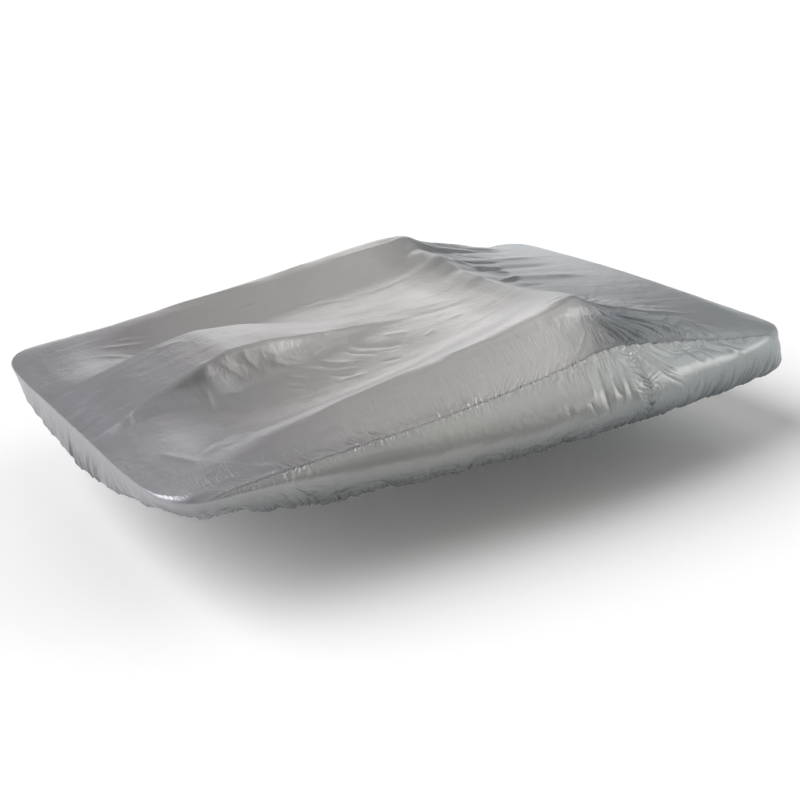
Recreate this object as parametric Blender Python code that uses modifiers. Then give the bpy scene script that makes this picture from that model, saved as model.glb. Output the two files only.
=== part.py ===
"""Fitted rain cover for a five-seat pedal boat, in the shape it takes when it is stretched over the hull.

Metres. +X runs from the bow to the stern, +Z up, and +Y is the side away from the viewer, called
port here; starboard is y under 0. The origin is under the cloth at the middle of the seat back, which
carries the cover. The boat itself is left out, so the cover is a hollow shell that is open below.

The tables below use x from the bow and heights above the rim of the hull; to_world turns them into
positions from the origin.

The cover is sewn from five cloths: one long top panel, whose two ends are also the bow and stern
skirts, and on each side a forward and an aft side panel, whose lower part is the side skirt.
"""

import bmesh
import bpy
import numpy as np

COLLECTION = "boat_cover"
LENGTH = 2.468
SEAT_BACK_X = 1.600
SEAT_BACK_ABOVE_RIM = 0.1875
CLOTH_THICKNESS = 0.002
SEAM_HALF_GAP = 0.0003
SEAM_END_RELIEF = 0.0022
SEAM_END_RELIEF_WITHIN = 0.080
WELD_DISTANCE = 0.00005

# Plan of the rim, x from the bow, from the middle of the bow round the port side to the middle of the stern.
RIM_PLAN = [
    dict(x=0.000, y=0.000),
    dict(x=0.000, y=0.300),
    dict(x=0.003, y=0.480),
    dict(x=0.013, y=0.580),
    dict(x=0.040, y=0.650),
    dict(x=0.085, y=0.690),
    dict(x=0.140, y=0.706),
    dict(x=0.300, y=0.724),
    dict(x=0.540, y=0.748),
    dict(x=0.800, y=0.777),
    dict(x=1.100, y=0.805),
    dict(x=1.400, y=0.822),
    dict(x=1.650, y=0.822),
    dict(x=1.900, y=0.810),
    dict(x=2.100, y=0.795),
    dict(x=2.250, y=0.780),
    dict(x=2.345, y=0.762),
    dict(x=2.410, y=0.732),
    dict(x=2.445, y=0.690),
    dict(x=2.462, y=0.620),
    dict(x=2.468, y=0.500),
    dict(x=2.468, y=0.300),
    dict(x=2.468, y=0.000),
]

# Where the long seam between the top panel and the side panels runs.
SEAM_BOW_X = 0.140
SEAM_STERN_X = 2.345
CROSS_SEAM_X = 1.650
LONG_SEAM = [
    dict(x=0.140, y=0.706),
    dict(x=0.240, y=0.705),
    dict(x=0.340, y=0.704),
    dict(x=0.540, y=0.703),
    dict(x=0.800, y=0.711),
    dict(x=1.000, y=0.707),
    dict(x=1.200, y=0.702),
    dict(x=1.400, y=0.692),
    dict(x=1.530, y=0.675),
    dict(x=1.650, y=0.665),
    dict(x=1.760, y=0.678),
    dict(x=1.900, y=0.691),
    dict(x=2.050, y=0.706),
    dict(x=2.200, y=0.732),
    dict(x=2.345, y=0.762),
]

# Cross-sections of the draped top, heights above the rim. Each section runs from the middle over the
# steering console (hump and its foot), the footwell (valley), the line the cloth is stretched along to the top of
# the seat back (crest), the side slope, the long seam and the rim.
SECTIONS = [
    dict(x=0.000, mid_z=0.022, hump_y=0.175, hump_z=0.022, foot_z=0.021, valley_y=0.360,
         valley_z=0.020, crest_y=0.620, crest_z=0.018, side_z=0.016, seam_z=0.014, rim_z=0.012),
    dict(x=0.050, mid_z=0.040, hump_y=0.170, hump_z=0.040, foot_z=0.036, valley_y=0.360,
         valley_z=0.032, crest_y=0.612, crest_z=0.028, side_z=0.022, seam_z=0.016, rim_z=0.013),
    dict(x=0.100, mid_z=0.060, hump_y=0.165, hump_z=0.060, foot_z=0.050, valley_y=0.360,
         valley_z=0.040, crest_y=0.602, crest_z=0.040, side_z=0.028, seam_z=0.019, rim_z=0.014),
    dict(x=0.200, mid_z=0.094, hump_y=0.150, hump_z=0.091, foot_z=0.064, valley_y=0.360,
         valley_z=0.044, crest_y=0.585, crest_z=0.055, side_z=0.036, seam_z=0.021, rim_z=0.015),
    dict(x=0.300, mid_z=0.124, hump_y=0.142, hump_z=0.120, foot_z=0.065, valley_y=0.355,
         valley_z=0.034, crest_y=0.570, crest_z=0.069, side_z=0.045, seam_z=0.023, rim_z=0.016),
    dict(x=0.400, mid_z=0.154, hump_y=0.130, hump_z=0.149, foot_z=0.063, valley_y=0.350,
         valley_z=0.022, crest_y=0.560, crest_z=0.084, side_z=0.054, seam_z=0.025, rim_z=0.017),
    dict(x=0.500, mid_z=0.175, hump_y=0.112, hump_z=0.170, foot_z=0.066, valley_y=0.345,
         valley_z=0.016, crest_y=0.557, crest_z=0.098, side_z=0.065, seam_z=0.029, rim_z=0.018),
    dict(x=0.620, mid_z=0.176, hump_y=0.096, hump_z=0.168, foot_z=0.077, valley_y=0.340,
         valley_z=0.022, crest_y=0.554, crest_z=0.113, side_z=0.077, seam_z=0.036, rim_z=0.019),
    dict(x=0.800, mid_z=0.152, hump_y=0.070, hump_z=0.147, foot_z=0.088, valley_y=0.330,
         valley_z=0.042, crest_y=0.552, crest_z=0.135, side_z=0.094, seam_z=0.047, rim_z=0.021),
    dict(x=1.000, mid_z=0.134, hump_y=0.050, hump_z=0.131, foot_z=0.100, valley_y=0.315,
         valley_z=0.069, crest_y=0.549, crest_z=0.163, side_z=0.114, seam_z=0.060, rim_z=0.024),
    dict(x=1.200, mid_z=0.125, hump_y=0.045, hump_z=0.123, foot_z=0.113, valley_y=0.290,
         valley_z=0.098, crest_y=0.540, crest_z=0.193, side_z=0.136, seam_z=0.076, rim_z=0.027),
    dict(x=1.400, mid_z=0.134, hump_y=0.060, hump_z=0.135, foot_z=0.134, valley_y=0.280,
         valley_z=0.138, crest_y=0.528, crest_z=0.225, side_z=0.157, seam_z=0.095, rim_z=0.031),
    dict(x=1.520, mid_z=0.160, hump_y=0.100, hump_z=0.163, foot_z=0.168, valley_y=0.280,
         valley_z=0.181, crest_y=0.514, crest_z=0.241, side_z=0.170, seam_z=0.104, rim_z=0.034),
    dict(x=1.585, mid_z=0.183, hump_y=0.120, hump_z=0.187, foot_z=0.193, valley_y=0.285,
         valley_z=0.208, crest_y=0.500, crest_z=0.248, side_z=0.176, seam_z=0.107, rim_z=0.036),
    dict(x=1.600, mid_z=0.187, hump_y=0.120, hump_z=0.191, foot_z=0.197, valley_y=0.285,
         valley_z=0.211, crest_y=0.498, crest_z=0.248, side_z=0.174, seam_z=0.107, rim_z=0.036),
    dict(x=1.615, mid_z=0.183, hump_y=0.120, hump_z=0.186, foot_z=0.191, valley_y=0.285,
         valley_z=0.205, crest_y=0.500, crest_z=0.242, side_z=0.168, seam_z=0.106, rim_z=0.036),
    dict(x=1.650, mid_z=0.173, hump_y=0.125, hump_z=0.175, foot_z=0.178, valley_y=0.290,
         valley_z=0.188, crest_y=0.506, crest_z=0.222, side_z=0.150, seam_z=0.104, rim_z=0.036),
    dict(x=1.720, mid_z=0.161, hump_y=0.130, hump_z=0.162, foot_z=0.163, valley_y=0.300,
         valley_z=0.166, crest_y=0.522, crest_z=0.191, side_z=0.134, seam_z=0.097, rim_z=0.035),
    dict(x=1.820, mid_z=0.151, hump_y=0.140, hump_z=0.151, foot_z=0.150, valley_y=0.310,
         valley_z=0.147, crest_y=0.545, crest_z=0.163, side_z=0.119, seam_z=0.085, rim_z=0.033),
    dict(x=1.950, mid_z=0.137, hump_y=0.150, hump_z=0.136, foot_z=0.134, valley_y=0.320,
         valley_z=0.130, crest_y=0.578, crest_z=0.128, side_z=0.096, seam_z=0.067, rim_z=0.030),
    dict(x=2.100, mid_z=0.120, hump_y=0.150, hump_z=0.119, foot_z=0.117, valley_y=0.330,
         valley_z=0.111, crest_y=0.605, crest_z=0.090, side_z=0.068, seam_z=0.046, rim_z=0.027),
    dict(x=2.220, mid_z=0.106, hump_y=0.150, hump_z=0.105, foot_z=0.103, valley_y=0.330,
         valley_z=0.098, crest_y=0.618, crest_z=0.071, side_z=0.054, seam_z=0.037, rim_z=0.025),
    dict(x=2.340, mid_z=0.086, hump_y=0.150, hump_z=0.085, foot_z=0.083, valley_y=0.340,
         valley_z=0.079, crest_y=0.625, crest_z=0.057, side_z=0.046, seam_z=0.033, rim_z=0.023),
    dict(x=2.400, mid_z=0.064, hump_y=0.150, hump_z=0.063, foot_z=0.062, valley_y=0.340,
         valley_z=0.059, crest_y=0.625, crest_z=0.044, side_z=0.038, seam_z=0.028, rim_z=0.020),
    dict(x=2.468, mid_z=0.034, hump_y=0.150, hump_z=0.034, foot_z=0.033, valley_y=0.340,
         valley_z=0.031, crest_y=0.625, crest_z=0.026, side_z=0.023, seam_z=0.019, rim_z=0.015),
]
HUMP_FOOT_OFFSET = 0.062
SIDE_SLOPE_OFFSET = 0.075

# The cloth rounds over the edge of the hull within these distances of the rim.
ROUNDING_AT_ENDS = 0.030
ROUNDING_AT_SIDES = 0.040

# Skirt below the rim, by distance along the rim from the middle of the bow.
SKIRT = [
    dict(along=0.00, drop=0.118, bulge=0.006, inset=0.004),
    dict(along=0.30, drop=0.112, bulge=0.006, inset=0.010),
    dict(along=0.50, drop=0.092, bulge=0.006, inset=0.020),
    dict(along=0.65, drop=0.066, bulge=0.003, inset=0.030),
    dict(along=0.78, drop=0.056, bulge=0.002, inset=0.038),
    dict(along=0.95, drop=0.084, bulge=0.002, inset=0.036),
    dict(along=1.30, drop=0.106, bulge=0.004, inset=0.034),
    dict(along=1.80, drop=0.112, bulge=0.005, inset=0.030),
    dict(along=2.30, drop=0.112, bulge=0.007, inset=0.026),
    dict(along=2.70, drop=0.116, bulge=0.012, inset=0.022),
    dict(along=3.00, drop=0.121, bulge=0.017, inset=0.014),
    dict(along=3.15, drop=0.123, bulge=0.018, inset=0.008),
    dict(along=3.35, drop=0.122, bulge=0.012, inset=0.006),
    dict(along=3.82, drop=0.121, bulge=0.008, inset=0.006),
]

# One vertical section of the skirt: how the drop, bulge and inset grow from the rim to the hem.
SKIRT_SECTION = [
    dict(part=0.00, down=0.00, out=0.00, under=0.00),
    dict(part=0.30, down=0.34, out=0.70, under=0.00),
    dict(part=0.60, down=0.68, out=1.00, under=0.08),
    dict(part=0.85, down=0.92, out=0.40, under=0.50),
    dict(part=1.00, down=1.00, out=0.00, under=1.00),
]

# Main folds of the top: soft ridges (height over 0) and troughs (under 0), each along one line.
FOLDS = [
    dict(x0=1.58, y0=0.41, x1=1.66, y1=0.34, half_width=0.060, height=-0.018),
    dict(x0=1.63, y0=0.40, x1=2.02, y1=0.47, half_width=0.030, height=-0.010),
    dict(x0=1.62, y0=0.26, x1=2.05, y1=0.30, half_width=0.032, height=0.007),
    dict(x0=1.63, y0=0.14, x1=2.00, y1=0.16, half_width=0.032, height=-0.007),
    dict(x0=1.64, y0=0.02, x1=1.98, y1=-0.01, half_width=0.032, height=0.006),
    dict(x0=1.60, y0=-0.60, x1=1.84, y1=-0.62, half_width=0.022, height=0.007),
    dict(x0=1.62, y0=-0.55, x1=1.92, y1=-0.56, half_width=0.024, height=-0.007),
    dict(x0=1.55, y0=-0.57, x1=1.60, y1=-0.66, half_width=0.026, height=-0.008),
    dict(x0=0.42, y0=-0.40, x1=1.05, y1=-0.34, half_width=0.036, height=-0.008),
    dict(x0=0.55, y0=-0.22, x1=1.10, y1=-0.17, half_width=0.036, height=0.008),
    dict(x0=0.62, y0=0.16, x1=1.22, y1=0.15, half_width=0.036, height=-0.006),
    dict(x0=0.30, y0=0.34, x1=0.80, y1=0.36, half_width=0.050, height=-0.006),
    dict(x0=0.39, y0=-0.16, x1=0.45, y1=-0.24, half_width=0.030, height=0.010),
]
FOLD_END_TAPER = 0.25

# Scallops that the elastic draws into the skirt: waves counted along the rim.
SCALLOPS = [
    dict(wavelength=0.330, phase=0.4, out=0.0030),
    dict(wavelength=0.215, phase=1.9, out=0.0018),
]

# Stations that the sheets are built on.
ROWS_ALONG = [
    0.000, 0.008, 0.030, 0.070, 0.130, 0.200, 0.280, 0.360, 0.440, 0.520, 0.600, 0.690, 0.780,
    0.880, 0.980, 1.080, 1.180, 1.280, 1.370, 1.450, 1.520, 1.565, 1.600, 1.625, 1.650, 1.700,
    1.760, 1.830, 1.910, 2.000, 2.090, 2.170, 2.250, 2.320, 2.380, 2.430, 2.458, 2.468,
]
HALF_COLUMNS_ACROSS = [
    0.06, 0.12, 0.18, 0.25, 0.33, 0.41, 0.48, 0.55, 0.62, 0.68, 0.73, 0.78, 0.83, 0.89, 0.95, 1.00,
]
SKIRT_ROWS = 7
END_ADJUSTED_WITHIN = 0.350
FINE = 400

CLOTHS = {
    "top_panel": dict(colour=(0.36, 0.355, 0.35), roughness=0.42),
    "side_panel_starboard_fore": dict(colour=(0.33, 0.33, 0.315), roughness=0.44),
    "side_panel_starboard_aft": dict(colour=(0.31, 0.325, 0.32), roughness=0.44),
    "side_panel_port_fore": dict(colour=(0.34, 0.335, 0.32), roughness=0.44),
    "side_panel_port_aft": dict(colour=(0.30, 0.315, 0.31), roughness=0.44),
}
CLOTH_METALLIC = 0.0


def column(rows, name):
    return np.array([row[name] for row in rows])


def smooth_rows(knots, values, at, start_slope=None):
    """Monotone cubic through each row of knots, so that no crest or hollow overshoots its table."""
    step = np.diff(knots, axis=-1)
    rise = np.diff(values, axis=-1) / step
    slope = np.zeros_like(values)
    before, after = rise[..., :-1], rise[..., 1:]
    product = before * after
    weight_a = 2 * step[..., 1:] + step[..., :-1]
    weight_b = step[..., 1:] + 2 * step[..., :-1]
    bottom = weight_a * after + weight_b * before
    safe = np.where(product > 0, bottom, 1.0)
    slope[..., 1:-1] = np.where(product > 0, (weight_a + weight_b) * product / safe, 0.0)
    slope[..., 0] = rise[..., 0] if start_slope is None else start_slope
    slope[..., -1] = rise[..., -1]
    at = np.asarray(at, float)[..., None]
    index = np.sum(knots[..., 1:-1] <= at, axis=-1)[..., None]
    left = np.take_along_axis(knots, index, -1)
    width = np.take_along_axis(step, index, -1)
    low = np.take_along_axis(values, index, -1)
    high = np.take_along_axis(values, index + 1, -1)
    slope_low = np.take_along_axis(slope, index, -1) * width
    slope_high = np.take_along_axis(slope, index + 1, -1) * width
    t = np.clip((at - left) / width, 0.0, 1.0)
    curve = low + t * slope_low
    curve += t**2 * (3 * (high - low) - 2 * slope_low - slope_high)
    curve += t**3 * (2 * (low - high) + slope_low + slope_high)
    return curve[..., 0]


def smooth(knots, values, at):
    at = np.asarray(at, float)
    shape = at.shape + (len(knots),)
    return smooth_rows(np.broadcast_to(knots, shape), np.broadcast_to(values, shape), at)


def from_table(rows, key, name, at):
    return smooth(column(rows, key), column(rows, name), at)


def rim_curve():
    """The port half of the rim as fine points, with the distance along it."""
    plan = np.stack([column(RIM_PLAN, "x"), column(RIM_PLAN, "y")], -1)
    chord = np.concatenate([[0.0], np.cumsum(np.linalg.norm(np.diff(plan, axis=0), axis=1))])
    along = np.linspace(0.0, chord[-1], 4 * FINE)
    points = np.stack([smooth(chord, plan[:, 0], along), smooth(chord, plan[:, 1], along)], -1)
    return along, points


RIM_ALONG, RIM_POINTS = rim_curve()
WIDEST = int(np.argmax(RIM_POINTS[:, 1]))


def rim_at(along):
    """Point of the rim and its outward direction, on the port side."""
    x = np.interp(along, RIM_ALONG, RIM_POINTS[:, 0])
    y = np.interp(along, RIM_ALONG, RIM_POINTS[:, 1])
    tangent = np.gradient(RIM_POINTS, RIM_ALONG, axis=0)
    tangent_x = np.interp(along, RIM_ALONG, tangent[:, 0])
    tangent_y = np.interp(along, RIM_ALONG, tangent[:, 1])
    size = np.hypot(tangent_x, tangent_y)
    return np.stack([x, y], -1), np.stack([-tangent_y / size, tangent_x / size], -1)


def bow_along(y):
    return np.interp(y, RIM_POINTS[: WIDEST + 1, 1], RIM_ALONG[: WIDEST + 1])


def stern_along(y):
    return np.interp(y, RIM_POINTS[WIDEST:, 1][::-1], RIM_ALONG[WIDEST:][::-1])


def side_along(x):
    return np.interp(x, RIM_POINTS[:, 0], RIM_ALONG)


def seam_y(x):
    return from_table(LONG_SEAM, "x", "y", np.clip(x, SEAM_BOW_X, SEAM_STERN_X))


def quarter_round(distance, radius):
    inside = 1.0 - np.clip(distance / radius, 0.0, 1.0)
    return np.sqrt(1.0 - inside**2)


def edge_rounding(x, half_y):
    """1 on the deck, falling to 0 at the rim with an upright end, where the skirt takes over."""
    within = np.minimum(half_y, LONG_SEAM[0]["y"])
    bow = np.interp(bow_along(within), RIM_ALONG, RIM_POINTS[:, 0])
    within = np.minimum(half_y, LONG_SEAM[-1]["y"])
    stern = np.interp(stern_along(within), RIM_ALONG, RIM_POINTS[:, 0])
    side = np.interp(side_along(x), RIM_ALONG, RIM_POINTS[:, 1])
    ends = quarter_round(x - bow, ROUNDING_AT_ENDS) * quarter_round(stern - x, ROUNDING_AT_ENDS)
    return ends * quarter_round(side - half_y, ROUNDING_AT_SIDES)


def fold_height(x, y):
    """Sum of the main folds of the top at each point."""
    total = np.zeros_like(x)
    for fold in FOLDS:
        run = np.array([fold["x1"] - fold["x0"], fold["y1"] - fold["y0"]])
        size = np.linalg.norm(run)
        along = ((x - fold["x0"]) * run[0] + (y - fold["y0"]) * run[1]) / size**2
        across = ((y - fold["y0"]) * run[0] - (x - fold["x0"]) * run[1]) / size
        past_end = np.maximum(np.maximum(-along, along - 1.0), 0.0) / FOLD_END_TAPER
        total += fold["height"] * np.exp(-((across / fold["half_width"]) ** 2) - past_end**2)
    return total


def top_height(x, y):
    """Height of the draped top above the rim."""
    half_y = np.abs(y)
    value = {name: from_table(SECTIONS, "x", name, x) for name in SECTIONS[0] if name != "x"}
    side_y = np.interp(side_along(x), RIM_ALONG, RIM_POINTS[:, 1])
    side_y = np.maximum(side_y, value["crest_y"] + 2.2 * SIDE_SLOPE_OFFSET)
    slope_y = value["crest_y"] + SIDE_SLOPE_OFFSET
    seam = np.minimum(seam_y(x), side_y - 0.2 * SIDE_SLOPE_OFFSET)
    seam = np.maximum(seam, slope_y + 0.2 * SIDE_SLOPE_OFFSET)
    middle = np.zeros_like(x)
    foot_y = value["hump_y"] + HUMP_FOOT_OFFSET
    knots = [middle, value["hump_y"], foot_y, value["valley_y"], value["crest_y"], slope_y]
    knots += [seam, side_y]
    names = ["mid_z", "hump_z", "foot_z", "valley_z", "crest_z", "side_z", "seam_z", "rim_z"]
    heights = np.stack([value[name] for name in names], -1)
    drape = smooth_rows(np.stack(knots, -1), heights, half_y, start_slope=0.0)
    return (drape + fold_height(x, y)) * edge_rounding(x, half_y)


def to_world(x, y, height):
    return np.stack([x - SEAT_BACK_X, y, height - SEAT_BACK_ABOVE_RIM], -1)


def scallop(along, side):
    total = np.zeros_like(along)
    for wave in SCALLOPS:
        total += wave["out"] * np.sin(2 * np.pi * along / wave["wavelength"] + side * wave["phase"])
    return total


def skirt_points(along, part, side):
    """Points of the skirt, part of the way down from the rim (0) to the hem (1)."""
    point, outward = rim_at(along)
    drop = from_table(SKIRT, "along", "drop", along)
    bulge = from_table(SKIRT, "along", "bulge", along)
    inset = from_table(SKIRT, "along", "inset", along)
    down = from_table(SKIRT_SECTION, "part", "down", part)
    out = from_table(SKIRT_SECTION, "part", "out", part)
    under = from_table(SKIRT_SECTION, "part", "under", part)
    offset = bulge * out - inset * under + scallop(along, side) * down
    flat = point + outward * offset[..., None]
    return to_world(flat[..., 0], side * flat[..., 1], -drop * down)


def evenly(path, count):
    """The path resampled to count steps of equal length."""
    length = np.concatenate([[0.0], np.cumsum(np.linalg.norm(np.diff(path, axis=0), axis=1))])
    at = np.linspace(0.0, length[-1], count + 1)
    return np.stack([np.interp(at, length, path[:, axis]) for axis in range(3)], -1)


def skirt_column(along, side):
    part = np.linspace(0.0, 1.0, FINE)
    return skirt_points(np.full(FINE, along), part, side)


def top_column(share):
    """One line of the top panel from the bow hem over the top to the stern hem."""
    side = 1.0 if share >= 0 else -1.0
    size = abs(share)
    bow = float(bow_along(size * LONG_SEAM[0]["y"]))
    stern = float(stern_along(size * LONG_SEAM[-1]["y"]))
    bow_x = float(np.interp(bow, RIM_ALONG, RIM_POINTS[:, 0]))
    stern_x = float(np.interp(stern, RIM_ALONG, RIM_POINTS[:, 0]))
    row = np.array(ROWS_ALONG)
    x = row + bow_x * np.clip(1.0 - row / END_ADJUSTED_WITHIN, 0.0, 1.0)
    x -= (LENGTH - stern_x) * np.clip(1.0 - (LENGTH - row) / END_ADJUSTED_WITHIN, 0.0, 1.0)
    y = share * seam_y(x)
    top = to_world(x, y, top_height(x, y))
    bow_skirt = evenly(skirt_column(bow, side), SKIRT_ROWS)[:0:-1]
    stern_skirt = evenly(skirt_column(stern, side), SKIRT_ROWS)[1:]
    return np.concatenate([bow_skirt, top, stern_skirt])


def seam_stations():
    """Stations along the long seam, the same on the top panel and on the side panels."""
    row = np.array(ROWS_ALONG)
    x = row + SEAM_BOW_X * np.clip(1.0 - row / END_ADJUSTED_WITHIN, 0.0, 1.0)
    x -= (LENGTH - SEAM_STERN_X) * np.clip(1.0 - (LENGTH - row) / END_ADJUSTED_WITHIN, 0.0, 1.0)
    return x


def side_column(x, side):
    """One line of a side panel from the long seam over the rim to the hem."""
    along = float(side_along(x))
    rim_y = float(np.interp(along, RIM_ALONG, RIM_POINTS[:, 1]))
    from_end = min(x - SEAM_BOW_X, SEAM_STERN_X - x)
    relief = SEAM_END_RELIEF * np.exp(-((from_end / SEAM_END_RELIEF_WITHIN) ** 2))
    start = min(float(seam_y(x)) + SEAM_HALF_GAP + relief, rim_y)
    y = rim_y - (rim_y - start) * np.linspace(1.0, 0.0, FINE) ** 2
    stations = np.full(FINE, x)
    top = to_world(stations, side * y, top_height(stations, side * y))
    return evenly(np.concatenate([top, skirt_column(along, side)[1:]]), SKIRT_ROWS)


def build_sheet(name, columns):
    """A sheet from neighbouring lines of points, given its thickness by a Solidify modifier."""
    columns = np.array(columns)
    mesh = bpy.data.meshes.new(name)
    form = bmesh.new()
    grid = [[form.verts.new(point) for point in line] for line in columns]
    for left, right in zip(grid, grid[1:]):
        for row in range(len(left) - 1):
            form.faces.new((left[row], right[row], right[row + 1], left[row + 1]))
    bmesh.ops.recalc_face_normals(form, faces=form.faces)
    if sum(face.normal.z * face.calc_area() for face in form.faces) < 0:
        bmesh.ops.reverse_faces(form, faces=form.faces)
    form.to_mesh(mesh)
    form.free()
    for face in mesh.polygons:
        face.use_smooth = True
    sheet = bpy.data.objects.new(name, mesh)
    bpy.data.collections[COLLECTION].objects.link(sheet)
    thickness = sheet.modifiers.new("cloth_thickness", "SOLIDIFY")
    thickness.thickness = CLOTH_THICKNESS
    thickness.offset = -1.0
    thickness.use_rim = True
    thickness.use_even_offset = False
    thickness.show_render = thickness.show_viewport
    sheet.data.materials.append(cloth_material(name))
    return sheet


def cloth_material(name):
    look = CLOTHS[name]
    material = bpy.data.materials.new(name + "_cloth")
    material.use_nodes = True
    shader = material.node_tree.nodes["Principled BSDF"]
    shader.inputs["Base Color"].default_value = (*look["colour"], 1.0)
    shader.inputs["Roughness"].default_value = look["roughness"]
    shader.inputs["Metallic"].default_value = CLOTH_METALLIC
    material.diffuse_color = (*look["colour"], 1.0)
    return material


def build_top_panel():
    half = np.array(HALF_COLUMNS_ACROSS)
    half[-1] -= SEAM_HALF_GAP / LONG_SEAM[0]["y"]
    shares = np.concatenate([-half[::-1], [0.0], half])
    build_sheet("top_panel", [top_column(share) for share in shares])


def build_side_panels(side, side_name):
    stations = seam_stations()
    fore = stations[stations <= CROSS_SEAM_X + WELD_DISTANCE].copy()
    aft = stations[stations >= CROSS_SEAM_X - WELD_DISTANCE].copy()
    fore[0] += SEAM_HALF_GAP
    fore[-1] -= SEAM_HALF_GAP
    aft[0] += SEAM_HALF_GAP
    aft[-1] -= SEAM_HALF_GAP
    for where, part in (("fore", fore), ("aft", aft)):
        lines = [side_column(x, side) for x in part]
        build_sheet("side_panel_" + side_name + "_" + where, lines)


def clear_scene():
    for thing in list(bpy.data.objects):
        bpy.data.objects.remove(thing, do_unlink=True)
    parts = bpy.data.collections.new(COLLECTION)
    bpy.context.scene.collection.children.link(parts)


clear_scene()
build_top_panel()
build_side_panels(-1.0, "starboard")
build_side_panels(1.0, "port")
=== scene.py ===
"""Looks of the pedal boat cover: the five cloths as fine meshes with their folds, seams and hem.

Metres, in the frame of the CAD: the origin is under the cloth at the middle of the seat back, +X
runs to the stern and +Z up. Starboard, the near side, is y under 0. Tables use x from the bow and
heights above the rim of the hull. The first tables and functions repeat the construction of the
cover; the folds, gathers, stitches, cloth materials, lights and camera are added here.
"""

import math

import bpy
import numpy as np
from mathutils import Matrix, Vector


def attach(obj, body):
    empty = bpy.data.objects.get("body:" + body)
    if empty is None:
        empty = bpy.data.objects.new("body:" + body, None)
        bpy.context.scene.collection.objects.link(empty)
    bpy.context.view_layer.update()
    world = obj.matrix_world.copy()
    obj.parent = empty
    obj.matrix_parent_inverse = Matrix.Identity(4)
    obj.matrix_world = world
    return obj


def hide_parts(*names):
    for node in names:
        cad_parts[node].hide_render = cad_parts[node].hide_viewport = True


def table(columns, *rows):
    """Rows with named columns."""
    names = columns.split()
    return [dict(zip(names, row)) for row in rows]


LENGTH = 2.468
SEAT_BACK_X = 1.600
SEAT_BACK_ABOVE_RIM = 0.1875
RIM_POINT_COUNT = 1600
END_ADJUSTED_WITHIN = 0.350

# Plan of the rim, x from the bow, from the middle of the bow round the port side to the middle of
# the stern.
RIM_PLAN = table(
    "x y",
    (0.000, 0.000),
    (0.000, 0.300),
    (0.003, 0.480),
    (0.013, 0.580),
    (0.040, 0.650),
    (0.085, 0.690),
    (0.140, 0.706),
    (0.300, 0.724),
    (0.540, 0.748),
    (0.800, 0.777),
    (1.100, 0.805),
    (1.400, 0.822),
    (1.650, 0.822),
    (1.900, 0.810),
    (2.100, 0.795),
    (2.250, 0.780),
    (2.345, 0.762),
    (2.410, 0.732),
    (2.445, 0.690),
    (2.462, 0.620),
    (2.468, 0.500),
    (2.468, 0.300),
    (2.468, 0.000),
)

# Where the long seam between the top panel and the side panels runs.
SEAM_BOW_X = 0.140
SEAM_STERN_X = 2.345
CROSS_SEAM_X = 1.650
LONG_SEAM = table(
    "x y",
    (0.140, 0.706),
    (0.240, 0.705),
    (0.340, 0.704),
    (0.540, 0.703),
    (0.800, 0.711),
    (1.000, 0.707),
    (1.200, 0.702),
    (1.400, 0.692),
    (1.530, 0.675),
    (1.650, 0.665),
    (1.760, 0.678),
    (1.900, 0.691),
    (2.050, 0.706),
    (2.200, 0.732),
    (2.345, 0.762),
)
SEAM_BOW_Y = LONG_SEAM[0]["y"]
SEAM_STERN_Y = LONG_SEAM[-1]["y"]

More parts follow.
